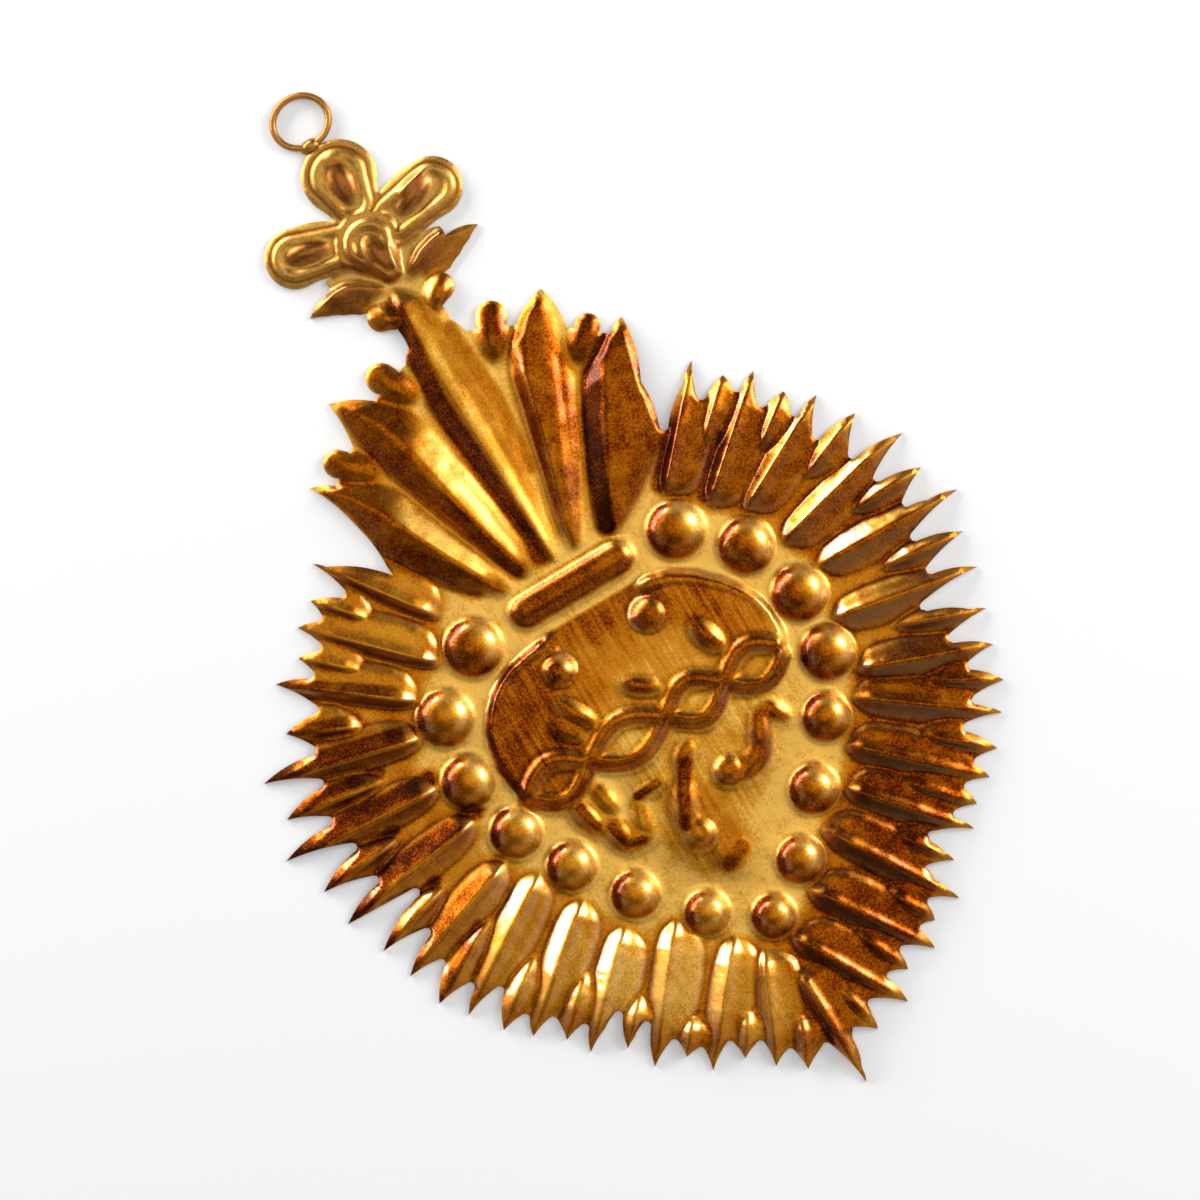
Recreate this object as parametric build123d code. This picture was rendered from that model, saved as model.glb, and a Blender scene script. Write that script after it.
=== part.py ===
"""Sacred heart milagro: one embossed metal sheet, a wire hanging ring and the solder that joins them.

The charm lies on its back.  +X is to the right of its face, +Y runs up to the ring, +Z comes out of
the face, and the origin is at the middle of the heart, on the back of the sheet.  Millimetres.
"""
from build123d import *
from math import acos, cos, degrees, pi, sin
import os

# Driving dimensions of the sheet and its cut edge
SHEET_THICKNESS = 0.4
NOTCH_RADIUS = 0.65
EDGE_MARGIN = 0.45

# Driving dimensions of the relief, each height measured above the flat ground of the sheet
LONG_RAY_WIDTH = 4.8
LONG_RAY_HEIGHT = 2.0
SHORT_RAY_WIDTH = 3.4
SHORT_RAY_HEIGHT = 1.4
RAY_SPREAD = 3.0
RAY_HEEL_RUN = 1.1
PEARL_HEIGHT = 2.4
FLAME_HEIGHT = 2.6
BUD_HEIGHT = 1.5
BAND_WIDTH = 4.6
BAND_HEIGHT = 1.6
PETAL_HEIGHT = 1.1
CENTRE_PETAL_HEIGHT = 1.6
PETAL_RIM = 1.1
PETAL_GROOVE = 0.6
PETAL_BOSS_WIDTH = 4.2
PETAL_BOSS_RISE = 0.3
PETAL_BOSS_TAPER = 0.8
POD_SLOPE = 0.9
LEAF_WIDTH = 2.7
LEAF_HEIGHT = 1.0
HEART_HEIGHT = 1.4
HEART_SIDE_SLOPE = 0.9
HEART_TIP_SLOPE = 3.2
SMALL_PEARL_HEIGHT = 1.5
BRAID_BOW = 3.0
BRAID_WIDTH = 2.2
BRAID_HEIGHT = 0.9
THORN_WIDTH = 1.6
THORN_HEIGHT = 0.7
DROP_HEIGHT = 1.2

# Driving dimensions of the hanging ring and its solder
RING_WIRE = 0.95
RING_WIDTH = 8.5
RING_LENGTH = 7.75
RING_X = 1.0
SOLDER_RADIUS = 1.7
SOLDER_COVER = 0.25
SOLDER_OFFSET = 0.5
SOLDER_RISE = 0.2

# Facets of the hammered round forms, the bent wire and the snipped notches
ROUND_SIDES = 16
DOME_CHORDS = 3
RING_SIDES = 28
WIRE_SIDES = 10
NOTCH_SNIPS = 3

# Rays clockwise from the right flame, long and short by turns: notch before it, root of its crest, tip
RAYS = [
    ((21.7, 31.9), (17.5, 24.5), (29.7, 38.1)),
    ((28.0, 32.9), (24.5, 27.0), (32.3, 34.3)),
    ((32.7, 31.4), (22.0, 20.5), (36.1, 32.7)),
    ((34.4, 28.0), (31.0, 23.0), (38.2, 28.3)),
    ((37.6, 24.7), (26.0, 17.5), (41.7, 25.7)),
    ((38.4, 20.7), (34.5, 17.0), (44.9, 21.0)),
    ((41.2, 16.2), (28.0, 10.5), (49.0, 15.5)),
    ((42.5, 12.0), (37.5, 10.0), (48.8, 10.3)),
    ((44.1, 7.2), (30.5, 6.5), (51.5, 5.3)),
    ((42.7, 2.8), (37.0, 1.5), (49.3, 0.1)),
    ((42.3, -2.0), (28.5, -1.0), (48.5, -4.9)),
    ((39.1, -5.7), (34.5, -6.0), (46.7, -10.3)),
    ((40.2, -11.2), (28.0, -8.5), (45.1, -14.9)),
    ((40.6, -15.5), (34.0, -14.0), (43.9, -19.7)),
    ((38.8, -19.8), (25.5, -11.5), (41.5, -23.3)),
    ((36.0, -22.2), (30.0, -20.0), (38.5, -27.1)),
    ((34.9, -27.0), (21.5, -16.5), (35.7, -29.9)),
    ((32.2, -29.0), (24.5, -23.5), (32.4, -32.1)),
    ((29.0, -31.5), (18.5, -21.5), (30.4, -34.7)),
    ((24.5, -32.2), (20.5, -29.5), (26.0, -37.0)),
    ((22.0, -35.8), (13.0, -24.5), (24.0, -41.7)),
    ((20.2, -39.7), (16.0, -35.5), (19.7, -42.6)),
    ((17.6, -42.2), (7.5, -30.5), (17.8, -45.8)),
    ((13.8, -43.3), (9.5, -38.0), (13.3, -46.4)),
    ((10.6, -45.4), (2.5, -35.0), (11.1, -50.1)),
    ((6.6, -47.2), (4.0, -43.0), (5.8, -51.2)),
    ((2.9, -49.2), (0.6, -39.0), (0.9, -56.5)),
    ((-1.2, -49.1), (-2.0, -43.5), (-4.9, -51.1)),
    ((-5.6, -47.4), (-2.0, -34.5), (-8.4, -48.6)),
    ((-8.4, -44.5), (-7.5, -39.5), (-11.4, -45.6)),
    ((-11.9, -42.5), (-4.5, -31.0), (-15.9, -44.8)),
    ((-15.7, -41.2), (-14.5, -37.0), (-18.0, -41.5)),
    ((-18.1, -38.6), (-10.0, -25.0), (-22.3, -40.4)),
    ((-20.1, -34.6), (-19.0, -31.0), (-24.2, -36.5)),
    ((-22.6, -31.6), (-16.5, -22.5), (-28.7, -34.4)),
    ((-27.3, -30.8), (-23.5, -24.5), (-30.6, -31.4)),
    ((-30.5, -27.8), (-19.5, -16.5), (-34.2, -28.7)),
    ((-33.4, -25.7), (-28.5, -19.5), (-37.2, -26.0)),
    ((-34.5, -20.8), (-22.5, -10.5), (-40.2, -21.9)),
    ((-37.5, -18.5), (-30.5, -12.0), (-42.8, -18.6)),
    ((-39.3, -13.8), (-26.0, -7.0), (-44.3, -13.5)),
    ((-38.8, -9.4), (-34.0, -5.5), (-45.7, -8.8)),
    ((-37.4, -4.1), (-26.5, 0.0), (-47.9, -3.3)),
    ((-41.2, 0.0), (-36.0, 3.0), (-48.5, 2.0)),
    ((-41.5, 5.2), (-28.5, 6.5), (-50.7, 8.1)),
    ((-42.5, 9.8), (-33.5, 10.5), (-47.8, 12.8)),
    ((-41.0, 14.7), (-27.0, 13.0), (-48.0, 18.5)),
    ((-39.6, 18.9), (-32.5, 18.0), (-42.1, 22.7)),
    ((-36.7, 23.3), (-25.0, 17.5), (-39.9, 29.1)),
    ((-34.8, 27.6), (-28.5, 24.0), (-35.6, 30.5)),
    ((-32.1, 30.2), (-20.0, 20.5), (-33.6, 34.1)),
    ((-30.1, 33.5), (-24.5, 29.5), (-30.3, 36.3)),
    ((-25.8, 34.6), (-17.0, 26.0), (-27.5, 40.4)),
]
RAY_SHOULDER = 0.25
RAY_HEEL_SHARE = 0.55
RAY_NECK_DROP = 0.7
RAY_TIP_MARGIN = 0.9

# Cut edge of the flames, clockwise from the last ray: notches and sharp tips by turns
LAST_NOTCH = (-19.4, 33.3)
CROWN_EDGE = [
    (-20.1, 42.5), (-22.7, 49.3), (-19.5, 47.7), (-15.0, 51.0), (-14.9, 57.7), (-9.3, 54.8),
    (-3.4, 56.9), (-1.9, 58.6), (-1.9, 61.5), (-1.0, 68.0), (4.0, 68.0), (4.8, 61.5), (4.8, 59.2),
    (5.8, 56.7), (11.9, 54.0), (17.3, 56.6), (17.6, 50.3), (22.1, 46.6), (24.7, 47.9), (22.4, 39.0),
]

# Pearls of the heart-shaped string: centre and radius
PEARLS = [
    (16.4, 19.8, 4.1), (23.4, 13.2, 3.9), (26.3, 4.2, 3.9), (25.5, -4.5, 3.8), (21.0, -11.8, 3.3),
    (14.7, -19.2, 3.4), (8.4, -26.4, 3.3), (1.5, -31.1, 3.0), (-5.9, -26.2, 3.1), (-12.9, -19.3, 3.3),
    (-18.3, -11.7, 3.4), (-22.4, -4.1, 3.6), (-24.5, 4.9, 3.7), (-22.8, 13.8, 4.0), (-14.8, 20.0, 4.1),
]

# Flames from base to tip: a base point, cross-sections (left foot, crest, right foot, share of the
# full height) and a tip point
FLAMES = [
    [(-7.6, 24.2),
     ((-11.6, 27.0), (-9.0, 27.4), (-6.2, 27.2), 0.5),
     ((-17.4, 33.0), (-12.0, 33.4), (-8.8, 33.2), 0.8),
     ((-19.2, 38.0), (-14.4, 39.0), (-11.0, 39.6), 1.0),
     ((-19.8, 43.2), (-17.2, 44.0), (-14.2, 45.2), 0.8),
     (-21.7, 47.7)],
    [(-3.5, 24.4),
     ((-5.4, 26.8), (-4.3, 27.0), (-1.2, 27.2), 0.5),
     ((-9.7, 36.6), (-6.6, 37.0), (-2.4, 37.4), 0.9),
     ((-13.6, 46.6), (-8.8, 47.0), (-4.4, 47.6), 1.0),
     ((-14.4, 52.0), (-10.6, 52.6), (-7.4, 53.2), 0.7),
     (-14.2, 56.6)],
    [(0.3, 24.6),
     ((-0.9, 27.0), (0.2, 27.0), (2.3, 27.0), 0.5),
     ((-2.0, 39.0), (0.1, 39.0), (4.5, 39.0), 0.9),
     ((-3.7, 50.0), (0.0, 50.0), (6.1, 50.0), 1.0),
     ((-3.2, 55.2), (0.0, 55.4), (5.3, 55.2), 0.9),
     ((-1.4, 59.5), (0.2, 59.5), (4.3, 59.5), 0.7),
     ((-1.3, 63.0), (0.3, 63.0), (3.9, 63.0), 0.6),
     (0.5, 66.6)],
    [(3.8, 24.4),
     ((2.9, 26.8), (4.0, 27.0), (6.4, 26.6), 0.5),
     ((5.0, 36.4), (6.4, 36.6), (11.0, 35.6), 0.9),
     ((6.8, 44.6), (8.6, 44.8), (14.8, 44.6), 1.0),
     ((8.8, 51.6), (11.6, 51.6), (16.7, 50.6), 0.8),
     (16.8, 55.6)],
    [(8.4, 24.0),
     ((7.6, 26.0), (10.2, 26.6), (14.0, 25.8), 0.5),
     ((11.0, 33.2), (13.9, 33.0), (20.3, 31.8), 0.8),
     ((14.4, 40.6), (17.6, 40.2), (21.7, 38.4), 1.0),
     ((17.6, 44.4), (20.0, 44.0), (22.7, 43.0), 0.8),
     (23.8, 46.8)],
]

# Rounded pods, each two circles (x, y, radius) and the skin over them: buds of the flames and of the stem
BUDS = [
    ((-7.1, 57.0, 2.1), (-5.9, 54.9, 1.7)),
    ((-17.9, 50.2, 1.9), (-16.0, 47.9, 1.7)),
    ((9.7, 56.7, 2.1), (8.2, 53.8, 1.7)),
    ((20.1, 49.1, 1.7), (18.3, 47.3, 1.6)),
    ((-3.0, 64.0, 1.9), (-1.8, 62.8, 1.2)),
    ((5.9, 63.6, 1.9), (4.6, 62.4, 1.2)),
]

# Petals of the flower at the top
TOP_PETAL = ((1.7, 83.0, 5.05), (1.6, 79.2, 3.5))
LEFT_PETAL = ((-8.9, 76.6, 4.05), (-2.8, 75.0, 3.4))
RIGHT_PETAL = ((11.7, 75.6, 4.1), (5.2, 74.6, 3.8))
CENTRE_PETAL = ((0.6, 73.2, 4.5), (1.2, 68.9, 1.6))
PETAL_BOSS_BACK = 3.4

# Leaves under the flower: tip, points on the upper and lower cut edges, middle line of the raised vein
LEFT_LEAF = [
    (-11.2, 68.7), (-9.2, 69.9), (-7.0, 70.4), (-7.0, 71.8),
    (0.0, 73.0), (0.0, 64.5), (-5.1, 65.7), (-8.0, 67.3),
]
RIGHT_LEAF = [
    (14.4, 68.2), (12.3, 69.1), (9.9, 69.0), (9.9, 70.6),
    (2.0, 72.0), (2.0, 64.0), (8.3, 65.1), (11.4, 66.6),
]
LEAF_VEINS = [
    [(-10.2, 68.7), (-7.2, 68.6), (-3.8, 67.6), (-0.9, 66.9)],
    [(12.9, 68.4), (9.6, 67.6), (6.2, 67.2), (2.6, 66.4)],
]
BAND_LINE = [(-8.7, 20.4), (-7.0, 20.4), (8.6, 20.4), (10.3, 20.4)]

# Heart: straight top between the lobes, then each side down to the tip
HEART_TOP_LEFT = (-4.6, 16.0)
HEART_TOP_RIGHT = (7.0, 16.1)
HEART_RIGHT = [(12.5, 15.2), (17.6, 11.6), (21.4, 6.2), (22.2, 0.4), (18.4, -8.4), (11.0, -16.0)]
HEART_LEFT = [(-10.0, -16.4), (-16.4, -8.4), (-19.6, -1.0), (-19.9, 4.4), (-17.6, 10.9), (-12.6, 15.0)]
HEART_TIP = (1.0, -24.5)
HEART_MIDDLE = (1.0, 2.0)
SMALL_PEARLS = [(-6.4, 11.6, 2.4), (7.4, 12.0, 2.5)]

# Crown of thorns: crossings of its two twisted strands along the middle line, and the thorns
BRAID_Y = -1.1
BRAID_CROSSINGS = (-18.4, -9.6, 2.5, 11.8, 20.6)
BRAID_STEPS = 6
THORNS = [
    [(-8.2, 7.6), (-7.1, 5.3), (-6.2, 3.4)],
    [(-10.2, 5.4), (-9.4, 4.2), (-8.6, 2.8)],
    [(0.4, 5.6), (1.8, 4.3), (3.4, 2.7)],
    [(12.6, 7.0), (13.2, 5.4), (13.7, 3.6)],
    [(-13.8, -5.8), (-13.5, -7.2), (-12.9, -8.8)],
    [(-10.4, -5.2), (-10.1, -6.6), (-9.6, -8.0)],
    [(-6.2, -8.2), (-4.2, -8.3), (-2.2, -7.9)],
    [(1.4, -7.6), (2.2, -6.6), (2.9, -5.8)],
    [(15.2, -6.6), (15.8, -7.8), (16.2, -9.0)],
]

# Blood drops under the braid: head (x, y, radius) and tail
DROPS = [
    ((6.2, -11.3, 2.4), [(7.0, -12.6), (9.0, -12.7), (11.6, -11.2), (13.1, -8.8), (13.5, -7.0)]),
    ((-1.5, -16.6, 2.3), [(-2.2, -15.6), (-1.8, -13.6), (-0.2, -11.0), (0.8, -8.4), (2.0, -6.6)]),
    ((-9.8, -11.8, 1.8), [(-9.0, -13.2), (-7.8, -12.6), (-7.2, -11.0), (-7.4, -9.4)]),
]

GROUND = SHEET_THICKNESS
NOTCH_MARGIN = EDGE_MARGIN + NOTCH_RADIUS / 2
HEART_LEVEL = GROUND + HEART_HEIGHT
TOP_OF_PETAL = TOP_PETAL[0][1] + TOP_PETAL[0][2]


def toward(start, end, distance):
    """The point that lies a distance from start on the way to end."""
    return start + (end - start).normalized() * distance


def at_height(point, height):
    """A flat point lifted to a height."""
    x, y, *_ = point
    return Vector(x, y, height)


def chain(sections):
    """Solid blocks, each filling the space between one cross-section of a form and the next."""
    return [ConvexPolyhedron(first + second) for first, second in zip(sections, sections[1:])]


def raised_line(points, width, height, level):
    """A creased ridge along a line of points, sunk to a point at both ends."""
    sections = [[at_height(points[0], level)]]
    for before, here, after in zip(points, points[1:], points[2:]):
        along = (Vector(*after) - Vector(*before)).normalized()
        side = Vector(-along.Y, along.X) * (width / 2)
        foot = at_height(here, level)
        sections.append([foot + side, at_height(here, level + height), foot - side])
    sections.append([at_height(points[-1], level)])
    return chain(sections)


def ring_of_points(x, y, radius, height):
    """Points round a circle at a height, the corners of a hammered round form."""
    turns = [2 * pi * side / ROUND_SIDES for side in range(ROUND_SIDES)]
    return [Vector(x + radius * cos(turn), y + radius * sin(turn), height) for turn in turns]


def dome(x, y, radius, height, level):
    """A round cap that stands on a level, hammered to flats along its arc."""
    sphere = (radius**2 + height**2) / (2 * height)
    half_angle = acos((sphere - height) / sphere)
    points = [Vector(x, y, level + height)]
    for step in range(1, DOME_CHORDS + 1):
        angle = half_angle * step / DOME_CHORDS
        points += ring_of_points(x, y, sphere * sin(angle), level + height - sphere * (1 - cos(angle)))
    return ConvexPolyhedron(points)


def pod_outline(ends):
    """The skin stretched round two circles."""
    return make_hull([(Pos(x, y) * Circle(radius)).edge() for x, y, radius in ends])


def pod(ends, inset, slope, bottom, top):
    """A rounded pad over two circles, drawn in by an inset, whose wall leans in by a slope."""
    largest = max(radius for _, _, radius in ends)
    points = []
    for height, drawn_in in ((bottom, inset), (top, inset + slope)):
        for x, y, radius in ends:
            points += ring_of_points(x, y, radius * (1 - drawn_in / largest), height)
    return ConvexPolyhedron(points)


def ray(notch_before, root, tip, notch_after, width, height):
    """A ridge from its blunt heel to just short of its tip, as wide as its tooth at the notches.

    Its flank towards the charm's right is spread the more, the more upright the ray is.
    """
    root, tip = Vector(*root), Vector(*tip)
    along = (tip - root).normalized()
    shoulder = root + (tip - root) * RAY_SHOULDER
    left = Vector(-along.Y, along.X) * (1 if along.Y > 0 else -1)
    right_reach = width / 2 + RAY_SPREAD * abs(along.Y) * height / LONG_RAY_HEIGHT
    feet = []
    for reach in (left * (width / 2), -left * right_reach):
        feet.append(root + reach * RAY_HEEL_SHARE)
        feet.append(shoulder + reach)
    necks = []
    for notch in (Vector(*notch_before), Vector(*notch_after)):
        crest = root + along * (notch - root).dot(along)
        feet.append(toward(notch, crest, NOTCH_MARGIN))
        necks.append(crest)
    feet.append(toward(tip, root, RAY_TIP_MARGIN))
    points = [at_height(foot, GROUND) for foot in feet]
    points.append(at_height(root + along * RAY_HEEL_RUN, GROUND + height))
    points.append(at_height(shoulder, GROUND + height))
    points.append(at_height((necks[0] + necks[1]) / 2, GROUND + height * RAY_NECK_DROP))
    return ConvexPolyhedron(points)


def flame(stations):
    """A flame that swells from its base to the crest and sinks at its tip."""
    sections = [[at_height(stations[0], GROUND)]]
    for left, crest, right, share in stations[1:-1]:
        top = at_height(crest, GROUND + FLAME_HEIGHT * share)
        sections.append([at_height(left, GROUND), top, at_height(right, GROUND)])
    sections.append([at_height(stations[-1], GROUND)])
    return chain(sections)


def petal(ends, height):
    """A petal: a raised rim, a groove inside it and a rounded boss in the groove."""
    top = GROUND + height
    groove_slope = POD_SLOPE / 2
    pad = pod(ends, EDGE_MARGIN, POD_SLOPE, GROUND, top)
    rim = EDGE_MARGIN + PETAL_RIM
    groove = pod(ends, rim + groove_slope, -2 * groove_slope, top - PETAL_GROOVE, top + PETAL_GROOVE)
    far, near = Vector(*ends[0][:2]), Vector(*ends[1][:2])
    heel = toward(far, near, PETAL_BOSS_BACK)
    boss_radius = PETAL_BOSS_WIDTH / 2
    boss_ends = ((far.X, far.Y, boss_radius), (heel.X, heel.Y, boss_radius * PETAL_BOSS_TAPER))
    boss = pod(boss_ends, 0, POD_SLOPE, GROUND, top + PETAL_BOSS_RISE)
    return [pad - groove, boss]


def heart_face(share):
    """The heart's outline, drawn in by a share of its slopes, more at the tip than at the lobes."""
    middle = Vector(*HEART_MIDDLE)
    depth = HEART_MIDDLE[1] - HEART_TIP[1]

    def drawn_in(point):
        lowness = max(0, HEART_MIDDLE[1] - point[1]) / depth
        slope = HEART_SIDE_SLOPE + (HEART_TIP_SLOPE - HEART_SIDE_SLOPE) * lowness**2
        return toward(Vector(*point), middle, slope * share)

    top_left, top_right, tip = drawn_in(HEART_TOP_LEFT), drawn_in(HEART_TOP_RIGHT), drawn_in(HEART_TIP)
    right = Spline(top_right, *[drawn_in(point) for point in HEART_RIGHT], tip)
    left = Spline(tip, *[drawn_in(point) for point in HEART_LEFT], top_left)
    return make_face([Line(top_left, top_right), right, left])


def heart_relief():
    """The raised heart with its pearls, braided crown, thorns and drops."""
    low = Pos(0, 0, GROUND) * heart_face(0)
    high = Pos(0, 0, HEART_LEVEL) * heart_face(1)
    forms = [loft([low, high], ruled=True)]
    forms += [dome(*pearl, SMALL_PEARL_HEIGHT, HEART_LEVEL) for pearl in SMALL_PEARLS]
    for start, end in zip(BRAID_CROSSINGS, BRAID_CROSSINGS[1:]):
        for bow in (BRAID_BOW, -BRAID_BOW):
            shares = [step / BRAID_STEPS for step in range(BRAID_STEPS + 1)]
            strand = [(start + (end - start) * share, BRAID_Y + bow * sin(pi * share)) for share in shares]
            forms += raised_line(strand, BRAID_WIDTH, BRAID_HEIGHT, HEART_LEVEL)
    for thorn in THORNS:
        forms += raised_line(thorn, THORN_WIDTH, THORN_HEIGHT, HEART_LEVEL)
    for head, tail in DROPS:
        forms.append(dome(*head, DROP_HEIGHT, HEART_LEVEL))
        forms += raised_line(tail, THORN_WIDTH, THORN_HEIGHT, HEART_LEVEL)
    return forms


def rounded_notch(notch, left_tip, right_tip):
    """Corners of a notch between two tips, its round bottom cut in short snips that reach the notch point."""
    inward = (notch - (left_tip + right_tip) / 2).normalized()
    to_left = (left_tip - notch).normalized()
    half_angle = acos(-to_left.dot(inward))
    centre = notch - inward * NOTCH_RADIUS
    reach = pi / 2 - half_angle
    side = 1 if inward.cross(to_left).Z < 0 else -1
    turns = [side * reach * (1 - 2 * snip / NOTCH_SNIPS) for snip in range(NOTCH_SNIPS + 1)]
    return [centre + inward.rotate(Axis.Z, degrees(-turn)) * NOTCH_RADIUS for turn in turns]


def toothed_outline():
    """The cut edge of the rays and flames, with a rounded bottom in each notch between rays."""
    tips = [Vector(*tip) for _, _, tip in RAYS]
    crown = [Vector(*point) for point in CROWN_EDGE]
    notches = [Vector(*notch) for notch, _, _ in RAYS] + [Vector(*LAST_NOTCH)]
    edge = []
    for notch, before, after in zip(notches, [crown[-1]] + tips, tips + [crown[0]]):
        edge += rounded_notch(notch, before, after)
        edge.append(after)
    return make_face(Polyline(*edge, *crown[1:], close=True))


def leaf_outline(corners):
    """A pointed leaf: curved edges by its tip, straight ones inside the flower."""
    tip, upper, upper_end, *inner, lower_end, lower = corners
    return make_face([
        ThreePointArc(tip, upper, upper_end),
        Polyline(upper_end, *inner, lower_end),
        ThreePointArc(lower_end, lower, tip),
    ])


def sheet_outline():
    """Everything that is cut from the sheet: rays, flames, buds, leaves and petals."""
    outline = toothed_outline()
    for ends in (*BUDS, TOP_PETAL, LEFT_PETAL, RIGHT_PETAL, CENTRE_PETAL):
        outline += pod_outline(ends)
    return outline + leaf_outline(LEFT_LEAF) + leaf_outline(RIGHT_LEAF)


def relief():
    """Every form that is raised from the sheet, as solid blocks that stand on its ground."""
    forms = heart_relief()
    notches = [notch for notch, _, _ in RAYS] + [LAST_NOTCH]
    for number, ((before, root, tip), notch_after) in enumerate(zip(RAYS, notches[1:])):
        is_long = number % 2 == 0
        width = LONG_RAY_WIDTH if is_long else SHORT_RAY_WIDTH
        height = LONG_RAY_HEIGHT if is_long else SHORT_RAY_HEIGHT
        forms.append(ray(before, root, tip, notch_after, width, height))
    forms += [dome(*pearl, PEARL_HEIGHT, GROUND) for pearl in PEARLS]
    for stations in FLAMES:
        forms += flame(stations)
    forms += [pod(ends, EDGE_MARGIN, POD_SLOPE, GROUND, GROUND + BUD_HEIGHT) for ends in BUDS]
    for ends in (TOP_PETAL, LEFT_PETAL, RIGHT_PETAL):
        forms += petal(ends, PETAL_HEIGHT)
    forms += petal(CENTRE_PETAL, CENTRE_PETAL_HEIGHT)
    for vein in LEAF_VEINS:
        forms += raised_line(vein, LEAF_WIDTH, LEAF_HEIGHT, GROUND)
    forms += raised_line(BAND_LINE, BAND_WIDTH, BAND_HEIGHT, GROUND)
    return forms


def hanging_ring():
    """A slightly oval ring of wire that lies flat and touches the top petal's edge."""
    across, along = (RING_WIDTH - RING_WIRE) / 2, (RING_LENGTH - RING_WIRE) / 2
    turns = [2 * pi * side / RING_SIDES for side in range(RING_SIDES)]
    path = Polyline(*[(across * cos(turn), along * sin(turn)) for turn in turns], close=True).wire()
    wire = RegularPolygon(RING_WIRE / 2, WIRE_SIDES, major_radius=False)
    section = Plane(path @ 0, z_dir=path % 0) * wire
    middle = Vector(RING_X, TOP_OF_PETAL + RING_LENGTH / 2, RING_WIRE / 2)
    return Pos(middle) * sweep(section, path, transition=Transition.RIGHT)


def solder_bead():
    """The lens of solder over the ring's joint before it is fitted round the wire and the petal."""
    height = RING_WIRE + SOLDER_COVER
    return dome(RING_X - SOLDER_OFFSET, TOP_OF_PETAL + SOLDER_RISE, SOLDER_RADIUS, height, 0)


plate = extrude(sheet_outline(), SHEET_THICKNESS)
forms = relief()
raised = plate.fuse(*forms)
hollows = [Pos(0, 0, -SHEET_THICKNESS) * form for form in forms]
embossed_sheet = raised.cut(*hollows)
ring = hanging_ring()
solder = solder_bead() - ring - raised

os.makedirs("parts", exist_ok=True)
export_step(embossed_sheet, "parts/embossed_sheet.step")
export_step(ring, "parts/hanging_ring.step")
export_step(solder, "parts/ring_solder.step")
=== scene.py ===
from math import cos, pi, radians, sin

import bpy
import numpy as np
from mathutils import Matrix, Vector, geometry, noise


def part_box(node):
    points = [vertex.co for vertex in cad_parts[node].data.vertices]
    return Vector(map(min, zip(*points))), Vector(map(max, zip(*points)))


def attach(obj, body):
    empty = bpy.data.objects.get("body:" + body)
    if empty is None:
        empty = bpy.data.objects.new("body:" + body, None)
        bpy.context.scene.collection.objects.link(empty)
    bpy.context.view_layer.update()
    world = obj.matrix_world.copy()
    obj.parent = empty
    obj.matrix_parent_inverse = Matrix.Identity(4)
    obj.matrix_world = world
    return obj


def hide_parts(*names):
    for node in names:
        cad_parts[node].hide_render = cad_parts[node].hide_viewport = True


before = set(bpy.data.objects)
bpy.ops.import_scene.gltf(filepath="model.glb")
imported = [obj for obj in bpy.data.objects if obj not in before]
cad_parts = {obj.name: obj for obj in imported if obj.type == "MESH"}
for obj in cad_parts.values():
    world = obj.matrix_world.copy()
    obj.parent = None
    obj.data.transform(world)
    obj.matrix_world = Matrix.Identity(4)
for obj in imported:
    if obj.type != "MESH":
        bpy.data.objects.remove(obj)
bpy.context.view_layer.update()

# Embossed sheet: one thin sheet of yellow metal, cut out with snips and worked from the back with punches
# and chisels, so every ray, pearl, flame and petal is hollow behind.  Its relief is kept as heights in
# millimetres over an even field of places, and one form after another is raised inside the cut edge.
MM = 0.001
FIELD_STEP = 0.25
FIELD_MARGIN = 1
SHEET_THICKNESS = 0.4
FLAT_ENOUGH = 0.01

sheet_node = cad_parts["embossed_sheet"].data
sheet_low, sheet_high = (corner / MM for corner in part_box("embossed_sheet"))
columns = np.arange(sheet_low.x - FIELD_MARGIN, sheet_high.x + FIELD_MARGIN, FIELD_STEP)
rows = np.arange(sheet_low.y - FIELD_MARGIN, sheet_high.y + FIELD_MARGIN, FIELD_STEP)
field_x, field_y = np.meshgrid(columns, rows)


def cut_edge():
    """Corners of the snipped edge in order, from the upright faces round the frame's sheet."""
    corners = [vertex.co / MM for vertex in sheet_node.vertices]
    snips = []
    for face in sheet_node.polygons:
        places = [corners[index] for index in face.vertices]
        upper = [place.xy for place in places if place.z > SHEET_THICKNESS - FLAT_ENOUGH]
        if abs(face.normal.z) < FLAT_ENOUGH and len(upper) == 2:
            run = upper[1] - upper[0]
            faces_out = Vector((run.y, -run.x)).dot(face.normal.xy) > 0
            snips.append(upper if faces_out else upper[::-1])
    edge = [snips.pop()[1]]
    while snips:
        nearest = min(snips, key=lambda snip: (snip[0] - edge[-1]).length)
        snips.remove(nearest)
        edge.append(nearest[1])
    return edge


def inside(corners):
    """1 inside a closed line of corners, 0 outside."""
    crossings = np.zeros(field_x.shape, int)
    for (start_x, start_y), (end_x, end_y) in zip(corners, corners[1:] + corners[:1]):
        spans = (start_y > field_y) != (end_y > field_y)
        rise = end_y - start_y if end_y != start_y else 1
        meets = start_x + (field_y - start_y) / rise * (end_x - start_x)
        crossings += spans & (field_x < meets)
    return (crossings % 2).astype(float)


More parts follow.
